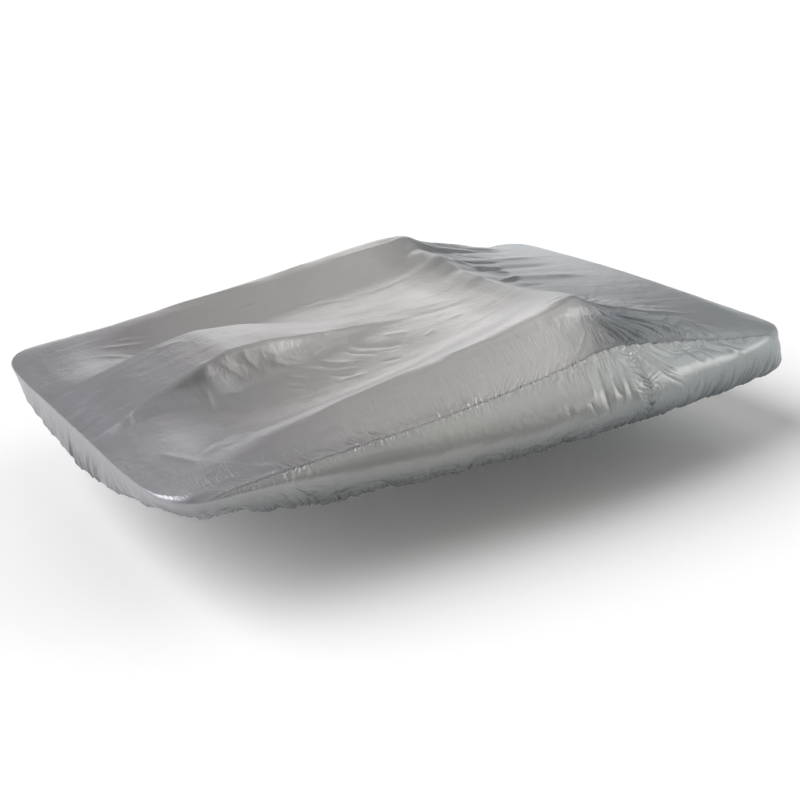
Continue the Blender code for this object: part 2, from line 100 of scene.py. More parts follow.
# Cross-sections of the draped top, heights above the rim. Each section runs from the middle over
# the steering console (hump and its foot), the footwell (valley), the line the cloth is stretched
# along to the top of the seat back (crest), the side slope, the long seam and the rim.
SECTIONS = table(
    "x mid_z hump_y hump_z foot_z valley_y valley_z crest_y crest_z side_z seam_z rim_z",
    (0.000, 0.006, 0.175, 0.006, 0.006, 0.360, 0.005, 0.620, 0.005, 0.004, 0.003, 0.002),
    (0.050, 0.028, 0.170, 0.028, 0.022, 0.360, 0.015, 0.612, 0.017, 0.011, 0.007, 0.004),
    (0.100, 0.051, 0.165, 0.050, 0.038, 0.360, 0.026, 0.602, 0.030, 0.019, 0.011, 0.006),
    (0.200, 0.092, 0.150, 0.088, 0.059, 0.360, 0.038, 0.585, 0.053, 0.034, 0.018, 0.009),
    (0.300, 0.124, 0.142, 0.120, 0.065, 0.355, 0.034, 0.570, 0.069, 0.045, 0.022, 0.012),
    (0.400, 0.154, 0.130, 0.149, 0.063, 0.350, 0.022, 0.560, 0.084, 0.054, 0.025, 0.015),
    (0.500, 0.175, 0.112, 0.170, 0.066, 0.345, 0.016, 0.557, 0.098, 0.065, 0.029, 0.018),
    (0.620, 0.176, 0.096, 0.168, 0.077, 0.340, 0.022, 0.554, 0.113, 0.077, 0.036, 0.019),
    (0.800, 0.152, 0.070, 0.147, 0.088, 0.330, 0.042, 0.552, 0.135, 0.094, 0.047, 0.021),
    (1.000, 0.134, 0.050, 0.131, 0.100, 0.315, 0.069, 0.549, 0.163, 0.114, 0.060, 0.024),
    (1.200, 0.125, 0.045, 0.123, 0.113, 0.290, 0.098, 0.540, 0.193, 0.136, 0.076, 0.027),
    (1.400, 0.134, 0.060, 0.135, 0.134, 0.280, 0.138, 0.528, 0.225, 0.157, 0.095, 0.031),
    (1.520, 0.160, 0.100, 0.163, 0.168, 0.280, 0.181, 0.514, 0.241, 0.170, 0.104, 0.034),
    (1.585, 0.183, 0.120, 0.187, 0.193, 0.285, 0.208, 0.500, 0.248, 0.176, 0.107, 0.036),
    (1.600, 0.187, 0.120, 0.191, 0.197, 0.285, 0.211, 0.498, 0.248, 0.174, 0.107, 0.036),
    (1.615, 0.183, 0.120, 0.186, 0.191, 0.285, 0.205, 0.500, 0.242, 0.168, 0.106, 0.036),
    (1.650, 0.173, 0.125, 0.175, 0.178, 0.290, 0.188, 0.506, 0.222, 0.150, 0.104, 0.036),
    (1.720, 0.161, 0.130, 0.162, 0.163, 0.300, 0.166, 0.522, 0.191, 0.134, 0.097, 0.035),
    (1.820, 0.151, 0.140, 0.151, 0.150, 0.310, 0.147, 0.545, 0.163, 0.119, 0.085, 0.033),
    (1.950, 0.137, 0.150, 0.136, 0.134, 0.320, 0.130, 0.578, 0.128, 0.096, 0.067, 0.030),
    (2.100, 0.120, 0.150, 0.119, 0.117, 0.330, 0.111, 0.605, 0.090, 0.068, 0.046, 0.027),
    (2.220, 0.106, 0.150, 0.105, 0.103, 0.330, 0.098, 0.618, 0.071, 0.054, 0.037, 0.025),
    (2.340, 0.086, 0.150, 0.085, 0.083, 0.340, 0.079, 0.625, 0.057, 0.046, 0.033, 0.023),
    (2.400, 0.064, 0.150, 0.063, 0.062, 0.340, 0.059, 0.625, 0.044, 0.038, 0.028, 0.020),
    (2.468, 0.034, 0.150, 0.034, 0.033, 0.340, 0.031, 0.625, 0.026, 0.023, 0.019, 0.015),
)
HUMP_FOOT_OFFSET = 0.062
SIDE_SLOPE_OFFSET = 0.075
# The side slope, the seam and the rim keep these shares of that offset apart.
SLOPE_TO_RIM = 2.2
SLOPE_TO_SEAM = 0.2

# The cloth rounds over the edge of the hull within these distances of the rim.
ROUNDING_AT_ENDS = 0.003
ROUNDING_AT_SIDES = 0.022

# Skirt below the rim, by distance along the rim from the middle of the bow.
SKIRT = table(
    "along drop bulge inset",
    (0.00, 0.114, 0.006, 0.004),
    (0.20, 0.108, 0.006, 0.008),
    (0.30, 0.097, 0.006, 0.012),
    (0.40, 0.076, 0.005, 0.016),
    (0.50, 0.062, 0.004, 0.022),
    (0.60, 0.048, 0.003, 0.030),
    (0.70, 0.052, 0.002, 0.036),
    (0.78, 0.057, 0.002, 0.038),
    (0.95, 0.084, 0.004, 0.036),
    (1.30, 0.106, 0.012, 0.034),
    (1.80, 0.112, 0.018, 0.030),
    (2.30, 0.112, 0.018, 0.026),
    (2.70, 0.116, 0.012, 0.022),
    (3.00, 0.121, 0.017, 0.014),
    (3.15, 0.123, 0.018, 0.008),
    (3.35, 0.122, 0.012, 0.006),
    (3.82, 0.121, 0.008, 0.006),
)

# One vertical section of the skirt: how the drop, bulge and inset grow from the rim to the hem.
SKIRT_SECTION = table(
    "part down out under",
    (0.00, 0.00, 0.00, 0.00),
    (0.30, 0.34, 0.70, 0.00),
    (0.60, 0.68, 1.00, 0.08),
    (0.85, 0.92, 0.40, 0.50),
    (1.00, 1.00, 0.00, 1.00),
)

# Main folds of the top: soft ridges (height over 0) and troughs (under 0), each along one line.
FOLDS = table(
    "x0 y0 x1 y1 half_width height",
    (1.58, 0.41, 1.66, 0.34, 0.060, -0.018),
    (1.63, 0.40, 2.02, 0.47, 0.030, -0.010),
    (1.62, 0.26, 2.05, 0.30, 0.032, 0.007),
    (1.63, 0.14, 2.00, 0.16, 0.032, -0.007),
    (1.64, 0.02, 1.98, -0.01, 0.032, 0.006),
    (1.60, -0.60, 1.84, -0.62, 0.022, 0.007),
    (1.62, -0.55, 1.92, -0.56, 0.024, -0.007),
    (1.55, -0.57, 1.60, -0.66, 0.026, -0.008),
    (0.42, -0.40, 1.05, -0.34, 0.036, -0.008),
    (0.55, -0.22, 1.10, -0.17, 0.036, 0.008),
    (0.62, 0.16, 1.22, 0.15, 0.036, -0.006),
    (0.30, 0.34, 0.80, 0.36, 0.050, -0.006),
    (0.39, -0.16, 0.45, -0.24, 0.030, 0.010),
)
FOLD_END_TAPER = 0.25

# Scallops that the elastic draws into the skirt: waves counted along the rim.
SCALLOPS = table(
    "wavelength phase out",
    (0.330, 0.4, 0.0030),
    (0.215, 1.9, 0.0018),
)


def column(rows, name):
    return np.array([row[name] for row in rows])


def smooth_rows(knots, values, at, start_slope=None):
    """Monotone cubic through each row of knots, so that no crest or hollow overshoots its table."""
    step = np.diff(knots, axis=-1)
    rise = np.diff(values, axis=-1) / step
    slope = np.zeros_like(values)
    before, after = rise[..., :-1], rise[..., 1:]
    product = before * after
    weight_a = 2 * step[..., 1:] + step[..., :-1]
    weight_b = step[..., 1:] + 2 * step[..., :-1]
    bottom = weight_a * after + weight_b * before
    safe = np.where(product > 0, bottom, 1.0)
    slope[..., 1:-1] = np.where(product > 0, (weight_a + weight_b) * product / safe, 0.0)
    slope[..., 0] = rise[..., 0] if start_slope is None else start_slope
    slope[..., -1] = rise[..., -1]
    at = np.asarray(at, float)[..., None]
    index = np.sum(knots[..., 1:-1] <= at, axis=-1)[..., None]
    left = np.take_along_axis(knots, index, -1)
    width = np.take_along_axis(step, index, -1)
    low = np.take_along_axis(values, index, -1)
    high = np.take_along_axis(values, index + 1, -1)
    slope_low = np.take_along_axis(slope, index, -1) * width
    slope_high = np.take_along_axis(slope, index + 1, -1) * width
    t = np.clip((at - left) / width, 0.0, 1.0)
    curve = low + t * slope_low
    curve += t**2 * (3 * (high - low) - 2 * slope_low - slope_high)
    curve += t**3 * (2 * (low - high) + slope_low + slope_high)
    return curve[..., 0]


def smooth(knots, values, at):
    at = np.asarray(at, float)
    shape = at.shape + (len(knots),)
    return smooth_rows(np.broadcast_to(knots, shape), np.broadcast_to(values, shape), at)


def from_table(rows, at, *names):
    """The named columns of a table, smooth between its rows, at values of its first column."""
    knots = column(rows, next(iter(rows[0])))
    found = [smooth(knots, column(rows, name), at) for name in names]
    return found if len(found) > 1 else found[0]


def distances(line):
    """Distance of each point of a line from its first point."""
    return np.concatenate([[0.0], np.cumsum(np.linalg.norm(np.diff(line, axis=0), axis=1))])


def on_line(at, length, values):
    """The values along a line, read between its points."""
    columns = [np.interp(at, length, values[..., axis]) for axis in range(values.shape[-1])]
    return np.stack(columns, -1)


def rim_curve():
    """The port half of the rim as fine points, with the distance along it."""
    plan = np.stack([column(RIM_PLAN, "x"), column(RIM_PLAN, "y")], -1)
    chord = distances(plan)
    along = np.linspace(0.0, chord[-1], RIM_POINT_COUNT)
    points = np.stack([smooth(chord, plan[:, 0], along), smooth(chord, plan[:, 1], along)], -1)
    return along, points


RIM_ALONG, RIM_POINTS = rim_curve()
WIDEST = int(np.argmax(RIM_POINTS[:, 1]))


def rim_x(along):
    return np.interp(along, RIM_ALONG, RIM_POINTS[:, 0])


def rim_y(along):
    return np.interp(along, RIM_ALONG, RIM_POINTS[:, 1])


def rim_at(along):
    """Point of the rim and its outward direction, on the port side."""
    tangent = on_line(along, RIM_ALONG, np.gradient(RIM_POINTS, RIM_ALONG, axis=0))
    tangent_x, tangent_y = tangent[..., 0], tangent[..., 1]
    size = np.hypot(tangent_x, tangent_y)
    outward = np.stack([-tangent_y / size, tangent_x / size], -1)
    return on_line(along, RIM_ALONG, RIM_POINTS), outward


def bow_along(y):
    return np.interp(y, RIM_POINTS[: WIDEST + 1, 1], RIM_ALONG[: WIDEST + 1])


def stern_along(y):
    return np.interp(y, RIM_POINTS[WIDEST:, 1][::-1], RIM_ALONG[WIDEST:][::-1])


def side_along(x):
    return np.interp(x, RIM_POINTS[:, 0], RIM_ALONG)


def seam_y(x):
    return from_table(LONG_SEAM, np.clip(x, SEAM_BOW_X, SEAM_STERN_X), "y")


def quarter_round(distance, radius):
    inside = 1.0 - np.clip(distance / radius, 0.0, 1.0)
    return np.sqrt(1.0 - inside**2)


def edge_rounding(x, half_y):
    """1 on the deck, falling to 0 at the rim with an upright end, where the skirt takes over."""
    within = np.minimum(half_y, SEAM_BOW_Y)
    bow = rim_x(bow_along(within))
    within = np.minimum(half_y, SEAM_STERN_Y)
    stern = rim_x(stern_along(within))
    side = rim_y(side_along(x))
    ends = quarter_round(x - bow, ROUNDING_AT_ENDS) * quarter_round(stern - x, ROUNDING_AT_ENDS)
    return ends * quarter_round(side - half_y, ROUNDING_AT_SIDES)


def fold_height(x, y):
    """Sum of the main folds of the top at each point."""
    total = np.zeros_like(x)
    for fold in FOLDS:
        run = np.array([fold["x1"] - fold["x0"], fold["y1"] - fold["y0"]])
        size = np.linalg.norm(run)
        along = ((x - fold["x0"]) * run[0] + (y - fold["y0"]) * run[1]) / size**2
        across = ((y - fold["y0"]) * run[0] - (x - fold["x0"]) * run[1]) / size
        past_end = np.maximum(np.maximum(-along, along - 1.0), 0.0) / FOLD_END_TAPER
        total += fold["height"] * np.exp(-((across / fold["half_width"]) ** 2) - past_end**2)
    return total


def top_height(x, y):
    """Height of the draped top above the rim."""
    half_y = np.abs(y)
    value = {name: from_table(SECTIONS, x, name) for name in SECTIONS[0] if name != "x"}
    side_y = rim_y(side_along(x))
    side_y = np.maximum(side_y, value["crest_y"] + SLOPE_TO_RIM * SIDE_SLOPE_OFFSET)
    slope_y = value["crest_y"] + SIDE_SLOPE_OFFSET
    seam = np.minimum(seam_y(x), side_y - SLOPE_TO_SEAM * SIDE_SLOPE_OFFSET)
    seam = np.maximum(seam, slope_y + SLOPE_TO_SEAM * SIDE_SLOPE_OFFSET)
    middle = np.zeros_like(x)
    foot_y = value["hump_y"] + HUMP_FOOT_OFFSET
    knots = [middle, value["hump_y"], foot_y, value["valley_y"], value["crest_y"], slope_y]
    knots += [seam, side_y]
    names = ["mid_z", "hump_z", "foot_z", "valley_z", "crest_z", "side_z", "seam_z", "rim_z"]
    heights = np.stack([value[name] for name in names], -1)
    drape = smooth_rows(np.stack(knots, -1), heights, half_y, start_slope=0.0)
    return (drape + fold_height(x, y)) * edge_rounding(x, half_y)


def to_world(x, y, height):
    return np.stack([x - SEAT_BACK_X, y, height - SEAT_BACK_ABOVE_RIM], -1)


def scallop(along, side):
    total = np.zeros_like(along)
    for wave in SCALLOPS:
        turn = 2 * np.pi * along / wave["wavelength"] + side * wave["phase"]
        total += wave["out"] * np.sin(turn)
    return total


def skirt_points(along, part, side):
    """Points of the skirt, part of the way down from the rim (0) to the hem (1)."""
    point, outward = rim_at(along)
    drop, bulge, inset = from_table(SKIRT, along, "drop", "bulge", "inset")
    down, out, under = from_table(SKIRT_SECTION, part, "down", "out", "under")
    offset = bulge * out - inset * under + scallop(along, side) * down
    flat = point + outward * offset[..., None]
    return to_world(flat[..., 0], side * flat[..., 1], -drop * down)


# --- uneven cloth: smooth noise -----------------------------------------------------------------


LINE_VALUES = 1024
FIELD_VALUES = 256


def ease(value):
    """0 to 1 with soft ends."""
    value = np.clip(value, 0.0, 1.0)
    return value * value * (3.0 - 2.0 * value)


def noise_line(position, seed):
    """Smooth random values from -1 to 1 along a line, one value per unit."""
    values = np.random.default_rng(seed).uniform(-1.0, 1.0, LINE_VALUES)
    cell = np.floor(position).astype(int)
    t = ease(position - cell)
    return values[cell % LINE_VALUES] * (1.0 - t) + values[(cell + 1) % LINE_VALUES] * t


def noise_field(across, along, seed):
    """Smooth random values from -1 to 1 over a plane, one value per unit square."""
    values = np.random.default_rng(seed).uniform(-1.0, 1.0, (FIELD_VALUES, FIELD_VALUES))
    i, j = np.floor(across).astype(int), np.floor(along).astype(int)
    s, t = ease(across - i), ease(along - j)
    i, j = i % FIELD_VALUES, j % FIELD_VALUES
    next_i, next_j = (i + 1) % FIELD_VALUES, (j + 1) % FIELD_VALUES
    low = values[i, j] * (1.0 - s) + values[next_i, j] * s
    high = values[i, next_j] * (1.0 - s) + values[next_i, next_j] * s
    return low * (1.0 - t) + high * t


BILLOW_SOFTNESS = 0.10
BILLOW_MIDDLE = 0.8


def billow(across, along, seed):
    """Rounded bulges with narrow hollows between them, from -1 to 1."""
    value = np.abs(noise_field(across, along, seed))
    return 2.0 * value / np.sqrt(value + BILLOW_SOFTNESS) - BILLOW_MIDDLE


# Each kind of fold draws its own noise on each side. Whole numbers added to a place on a noise
# field keep the fields of two kinds apart.
SEEDS = table(
    "kind starboard port",
    ("pucker", 23, 11),
    ("cross_pucker", 149, 131),
    ("gather", 53, 37),
    ("peak_fold", 97, 83),
)


def seed_of(kind, side):
    row = next(row for row in SEEDS if row["kind"] == kind)
    return row["port"] if side > 0 else row["starboard"]


# --- main creases of the sheet ------------------------------------------------------------------

# Each crease is a soft ridge (height over 0) or trough (under 0) from x0, y0 to x1, y1, bent by
# bow. Positions and bow in metres, half_width and height in millimetres. On the side panels y0 and
# y1 are distances down from the long seam.
MILLIMETRE = 0.001
CREASE_COLUMNS = "x0 y0 x1 y1 bow half_width height"
DECK_CREASES = table(
    CREASE_COLUMNS,
    # fore deck, port side
    (0.270, 0.453, 0.482, 0.428, -0.005, 9.9, 3.21),
    (0.322, 0.473, 0.498, 0.436, 0.004, 7.3, 1.66),
    (0.250, 0.400, 0.395, 0.330, 0.012, 10.0, 2.91),
    (0.215, 0.300, 0.290, 0.240, 0.006, 8.0, 1.55),
    (0.330, 0.410, 0.420, 0.345, 0.004, 7.0, -1.13),
    # top of the console
    (0.330, 0.106, 0.438, 0.046, 0.015, 16.2, 2.48),
    (0.438, 0.046, 0.440, -0.015, 0.001, 4.7, 0.59),
    (0.196, 0.051, 0.268, -0.033, -0.006, 7.9, 0.91),
    (0.202, 0.065, 0.284, 0.002, -0.005, 8.7, -0.99),
    (0.214, -0.031, 0.260, -0.064, 0.000, 6.4, 0.65),
    (0.318, -0.044, 0.370, -0.036, 0.005, 9.4, 0.83),
    (0.374, -0.084, 0.490, -0.036, 0.007, 8.2, 0.73),
    (0.366, -0.050, 0.468, -0.023, 0.003, 9.0, 0.81),
    # fore and starboard walls of the console
    (0.132, -0.161, 0.094, -0.274, 0.000, 4.4, -0.71),
    (0.138, -0.179, 0.120, -0.257, 0.001, 3.6, 0.45),
    (0.098, -0.187, 0.086, -0.264, 0.001, 2.7, 0.24),
    (0.128, -0.237, 0.108, -0.325, 0.002, 4.0, 0.43),
    (0.374, -0.169, 0.356, -0.263, 0.006, 14.2, 3.58),
    (0.344, -0.185, 0.330, -0.251, -0.001, 9.9, -0.89),
    (0.430, -0.137, 0.542, -0.186, 0.011, 6.5, 0.70),
    (0.532, -0.117, 0.578, -0.144, -0.003, 7.5, 0.81),
    (0.474, -0.131, 0.582, -0.159, 0.004, 5.6, -0.71),
    (0.342, -0.135, 0.388, -0.134, -0.001, 5.6, -0.71),
    # starboard footwell and its edge
    (0.320, -0.355, 0.424, -0.326, 0.010, 8.0, 2.46),
    (0.322, -0.388, 0.372, -0.470, 0.015, 9.0, 1.84),
    (0.270, -0.482, 0.356, -0.532, 0.025, 9.0, 2.45),
    (0.180, -0.539, 0.356, -0.544, 0.009, 11.0, 3.36),
    (0.180, -0.515, 0.270, -0.482, 0.002, 7.7, 1.84),
    (0.244, -0.534, 0.334, -0.543, 0.018, 11.1, -2.65),
    (0.154, -0.439, 0.190, -0.436, -0.001, 6.7, 0.40),
    (0.208, -0.501, 0.242, -0.482, 0.001, 5.7, 0.34),
    (0.110, -0.398, 0.174, -0.581, 0.000, 18.0, 3.60),
    (0.174, -0.581, 0.378, -0.686, -0.017, 15.0, 3.00),
    (0.142, -0.605, 0.192, -0.599, -0.001, 6.0, 0.72),
    (0.132, -0.636, 0.194, -0.620, 0.003, 4.7, 0.56),
    (0.130, -0.660, 0.198, -0.637, -0.001, 4.5, 0.54),
    (0.138, -0.681, 0.212, -0.660, -0.001, 4.1, 0.42),
)
SLOPE_CREASES = table(
    CREASE_COLUMNS,
    # hollow between the console and the starboard crest
    (0.648, -0.176, 0.726, -0.226, -0.008, 8.3, 3.97),
    (0.642, -0.202, 0.698, -0.234, -0.005, 5.6, -0.96),
    (0.628, -0.212, 0.698, -0.247, -0.004, 5.8, 2.20),
    (0.622, -0.227, 0.692, -0.258, -0.003, 6.2, -2.67),
    (0.626, -0.271, 0.686, -0.280, 0.003, 5.7, 0.61),
    (0.602, -0.129, 0.798, -0.218, 0.011, 14.1, 4.02),
    (0.594, -0.118, 0.764, -0.150, 0.006, 6.7, 1.60),
    (0.780, -0.144, 0.916, -0.216, -0.017, 11.8, 5.04),
    (0.776, -0.162, 0.874, -0.220, -0.017, 7.8, -3.34),
    (0.798, -0.218, 0.902, -0.250, 0.001, 9.2, 2.63),
    (0.770, -0.217, 0.876, -0.276, -0.008, 7.9, -2.63),
    (0.772, -0.261, 0.806, -0.271, -0.002, 6.5, -0.34),
    (0.782, -0.275, 0.904, -0.293, 0.006, 8.2, 1.96),
    (0.912, -0.101, 1.114, -0.212, -0.017, 17.0, -7.29),
    (0.886, -0.130, 1.020, -0.210, -0.019, 11.5, -3.27),
    (1.004, -0.205, 1.074, -0.220, -0.004, 6.9, -1.63),
    (0.960, -0.256, 1.052, -0.279, -0.001, 7.4, -2.47),
    (0.772, -0.133, 0.858, -0.107, 0.000, 4.1, 0.98),
    (0.786, -0.133, 0.848, -0.116, -0.001, 4.8, -0.52),
    (1.060, -0.121, 1.156, -0.150, -0.004, 11.3, 2.69),
    (0.848, -0.078, 0.928, -0.056, 0.000, 6.6, 2.20),
    (1.288, -0.112, 1.342, -0.091, -0.001, 8.3, 0.15),
    (1.280, -0.129, 1.352, -0.115, -0.002, 9.8, -0.98),
    (1.312, -0.162, 1.396, -0.155, 0.001, 10.5, 1.22),
    (1.320, -0.169, 1.408, -0.174, -0.005, 13.6, -0.79),
    (1.180, -0.211, 1.250, -0.187, 0.001, 7.0, 2.01),
    (0.630, -0.325, 0.682, -0.317, -0.001, 7.0, -1.35),
    (0.628, -0.338, 0.694, -0.326, 0.001, 7.0, 1.20),
    (0.552, -0.484, 0.604, -0.483, 0.002, 7.0, -1.05),
    # port slope up to the seat back
    (0.780, 0.458, 0.918, 0.449, -0.003, 6.0, 1.35),
    (0.782, 0.445, 0.920, 0.440, 0.000, 6.0, -1.12),
    (1.010, 0.401, 1.148, 0.383, 0.001, 7.2, 1.34),
    (1.018, 0.372, 1.144, 0.365, -0.004, 7.1, 1.58),
    (1.018, 0.360, 1.140, 0.351, -0.003, 7.1, -1.85),
    (0.690, 0.300, 0.930, 0.215, -0.020, 9.0, -3.03),
    (0.640, 0.225, 0.960, 0.165, -0.015, 10.0, -3.74),
    (0.660, 0.250, 0.930, 0.190, -0.014, 9.0, 2.69),
    (1.120, 0.249, 1.260, 0.187, -0.008, 12.8, 3.36),
    (1.144, 0.231, 1.260, 0.198, -0.010, 12.1, -3.17),
    (1.330, 0.413, 1.482, 0.420, -0.001, 6.5, 1.71),
    (1.336, 0.394, 1.442, 0.404, 0.002, 4.9, -1.09),
    (1.348, 0.385, 1.446, 0.390, 0.000, 5.7, 1.28),
    (1.322, 0.359, 1.454, 0.333, 0.005, 7.4, 1.10),
    (1.132, 0.401, 1.240, 0.380, -0.001, 6.6, 0.98),
    (1.178, 0.320, 1.474, 0.268, -0.020, 15.0, 2.81),
    (1.020, 0.347, 1.252, 0.261, 0.015, 15.0, 2.24),
    (1.558, 0.427, 1.534, 0.341, 0.009, 6.1, 1.37),
    (1.584, 0.430, 1.548, 0.312, 0.013, 6.6, 1.48),
    (1.600, 0.411, 1.550, 0.275, 0.003, 8.2, 1.85),
    (1.598, 0.355, 1.558, 0.235, 0.003, 5.4, 1.00),
    # line from the console to the seat back
    (0.872, -0.040, 1.522, -0.052, 0.042, 23.7, 4.19),
    (1.188, -0.058, 1.492, -0.092, 0.000, 20.0, -2.66),
    # aft slope, from the seat back
    (1.718, 0.455, 1.970, 0.481, -0.007, 15.0, 5.92),
    (1.726, 0.438, 1.890, 0.357, -0.013, 15.0, -5.92),
    (1.784, 0.420, 1.946, 0.309, -0.019, 15.0, 5.18),
    (1.696, 0.256, 1.906, 0.248, -0.009, 15.0, -5.18),
    (1.706, 0.204, 1.854, 0.179, -0.014, 15.0, 5.18),
    (1.710, 0.171, 1.834, 0.144, -0.013, 15.0, -5.92),
    (1.704, 0.138, 1.820, 0.086, -0.017, 15.0, 5.92),
    (1.656, 0.019, 1.796, 0.056, -0.005, 15.0, -2.96),
    (1.650, -0.026, 1.806, 0.016, -0.002, 15.0, 3.70),
    (1.640, -0.042, 1.776, -0.014, -0.015, 15.0, -3.33),
    (1.644, -0.101, 1.776, -0.082, 0.011, 15.0, 2.22),
    (1.640, -0.134, 1.830, -0.112, 0.010, 15.0, -2.59),
)
STARBOARD_CREST = table(
    CREASE_COLUMNS,
    # line stretched along the starboard crest
    (0.492, -0.567, 0.974, -0.533, 0.001, 14.3, 5.35),
    (0.772, -0.573, 0.954, -0.562, -0.004, 5.1, -1.54),
    (0.706, -0.581, 0.972, -0.576, 0.003, 5.4, 1.21),
    (0.992, -0.535, 1.206, -0.539, -0.006, 11.6, 3.46),
    (0.980, -0.568, 1.200, -0.562, 0.001, 5.0, -1.30),
    (0.972, -0.579, 1.166, -0.569, -0.002, 4.2, 0.95),
    (1.256, -0.495, 1.530, -0.460, -0.004, 13.0, 3.89),
    (1.484, -0.460, 1.570, -0.465, -0.005, 12.3, 3.21),
    (1.454, -0.505, 1.572, -0.491, 0.000, 9.1, 1.71),
)
FAN_CREASES = table(
    CREASE_COLUMNS,
    # fan from the starboard shoulder of the seat back to the seam
    (1.640, -0.500, 2.190, -0.545, 0.006, 13.0, 3.98),
    (1.655, -0.510, 2.170, -0.660, 0.008, 13.0, 4.77),
    (1.665, -0.520, 2.180, -0.730, 0.004, 13.0, 6.36),
    (1.694, -0.528, 2.078, -0.699, 0.012, 13.0, -7.16),
    (1.702, -0.530, 2.022, -0.694, 0.007, 11.9, 5.82),
    (1.692, -0.540, 1.972, -0.693, 0.010, 8.7, -5.30),
    (1.698, -0.544, 1.922, -0.682, 0.005, 9.7, 4.76),
    (1.690, -0.554, 1.862, -0.671, 0.001, 7.8, -4.76),
    (1.682, -0.556, 1.822, -0.661, 0.000, 8.5, 4.18),
    (1.672, -0.564, 1.766, -0.659, -0.004, 8.8, -4.87),
    (1.668, -0.568, 1.730, -0.656, -0.006, 8.2, 3.51),
    (1.652, -0.580, 1.686, -0.653, -0.008, 8.3, -4.07),
    (1.626, -0.597, 1.658, -0.653, -0.001, 7.2, 3.09),
    # folds from the shoulder and above the starboard seam
    (1.572, -0.589, 1.448, -0.679, 0.001, 4.4, -3.49),
    (1.576, -0.601, 1.462, -0.683, 0.001, 4.4, 1.86),
    (1.554, -0.620, 1.502, -0.679, -0.004, 4.4, -1.85),
    (1.588, -0.601, 1.520, -0.683, -0.001, 5.2, 2.20),
    (1.588, -0.613, 1.558, -0.676, 0.000, 5.8, -2.45),
    (1.606, -0.604, 1.596, -0.665, 0.001, 6.5, 2.40),
    (1.610, -0.608, 1.626, -0.667, 0.000, 6.0, -2.23),
    (0.596, -0.661, 0.678, -0.698, 0.004, 5.0, -3.10),
    (0.590, -0.672, 0.665, -0.700, 0.003, 4.0, 1.86),
    (0.436, -0.668, 0.534, -0.696, 0.004, 5.0, -2.79),
    (0.540, -0.680, 0.600, -0.699, 0.002, 4.0, -2.48),
)
SIDE_CREASES = table(
    CREASE_COLUMNS,
    # under the shoulder
    (1.446, 0.000, 1.410, 0.086, 0.000, 6.2, -1.11),
    (1.469, 0.006, 1.410, 0.154, 0.007, 9.6, 1.47),
    (1.544, 0.015, 1.469, 0.229, 0.041, 10.5, -4.02),
    (1.572, 0.015, 1.493, 0.215, 0.022, 10.4, 2.13),
    (1.532, 0.087, 1.528, 0.182, 0.017, 9.8, -2.98),
    (1.615, 0.018, 1.544, 0.238, 0.029, 10.2, 2.60),
    (1.607, 0.056, 1.572, 0.217, 0.023, 11.3, -2.89),
    (1.390, 0.134, 1.418, 0.209, 0.005, 6.7, -1.54),
    (1.588, 0.164, 1.611, 0.259, -0.001, 10.9, 2.22),
    (1.304, 0.109, 1.351, 0.203, 0.020, 9.1, -1.05),
    (1.323, 0.115, 1.367, 0.194, 0.014, 8.1, 0.50),
    (1.256, 0.124, 1.292, 0.180, 0.003, 4.6, 0.37),
    (1.670, 0.044, 1.678, 0.118, 0.000, 11.5, -1.23),
    (1.647, 0.116, 1.663, 0.151, 0.004, 9.0, -0.29),
    (1.655, 0.083, 1.670, 0.139, 0.000, 9.7, 0.27),
    # aft panel
    (1.895, 0.010, 1.923, 0.117, 0.026, 14.3, 3.12),
    (1.923, 0.012, 1.951, 0.122, 0.023, 11.4, -2.79),
    (1.958, 0.015, 1.970, 0.111, 0.010, 13.2, 2.87),
    (2.002, 0.012, 2.108, 0.076, 0.020, 14.3, -4.28),
    (2.029, 0.011, 2.116, 0.079, -0.001, 14.1, 3.44),
    (2.073, 0.015, 2.148, 0.082, 0.010, 12.6, 3.09),
    (2.096, 0.017, 2.175, 0.066, 0.006, 10.7, -2.32),
    # fore panel, near the bow
    (0.361, 0.038, 0.487, 0.118, 0.010, 6.1, 5.85),
    (0.353, 0.047, 0.432, 0.106, 0.001, 4.8, -3.30),
    (0.274, 0.042, 0.329, 0.072, 0.001, 5.2, 3.55),
    (0.306, 0.039, 0.353, 0.077, 0.001, 4.0, 2.48),
    (0.381, 0.047, 0.487, 0.089, -0.003, 4.2, 1.44),
)

# Share of a crease's length over which each end fades, and how many half widths it reaches.
CREASE_END = 0.30
CREASE_REACH = 3.0
# How much wider a crease is at its far end than at its start, as a share of its middle width.
FAN_FLARE = 0.9
CRISPNESS = 1.5
CRISP_TIP = 0.30
# How far the port side's creases are moved along the boat, and how much they are changed.
PORT_SHIFT = 0.035
PORT_START_SHIFT = 1.0 / 3.0
PORT_GROWTH = (0.6, 1.2)
PORT_PANEL_SHIFT = 0.070
PORT_SEED = 5


def crisp(away):
    """Section of a crease, 1 at its line: a narrow rounded tip with hollow flanks."""
    return np.exp(-CRISPNESS * (np.sqrt(away**2 + CRISP_TIP**2) - CRISP_TIP))


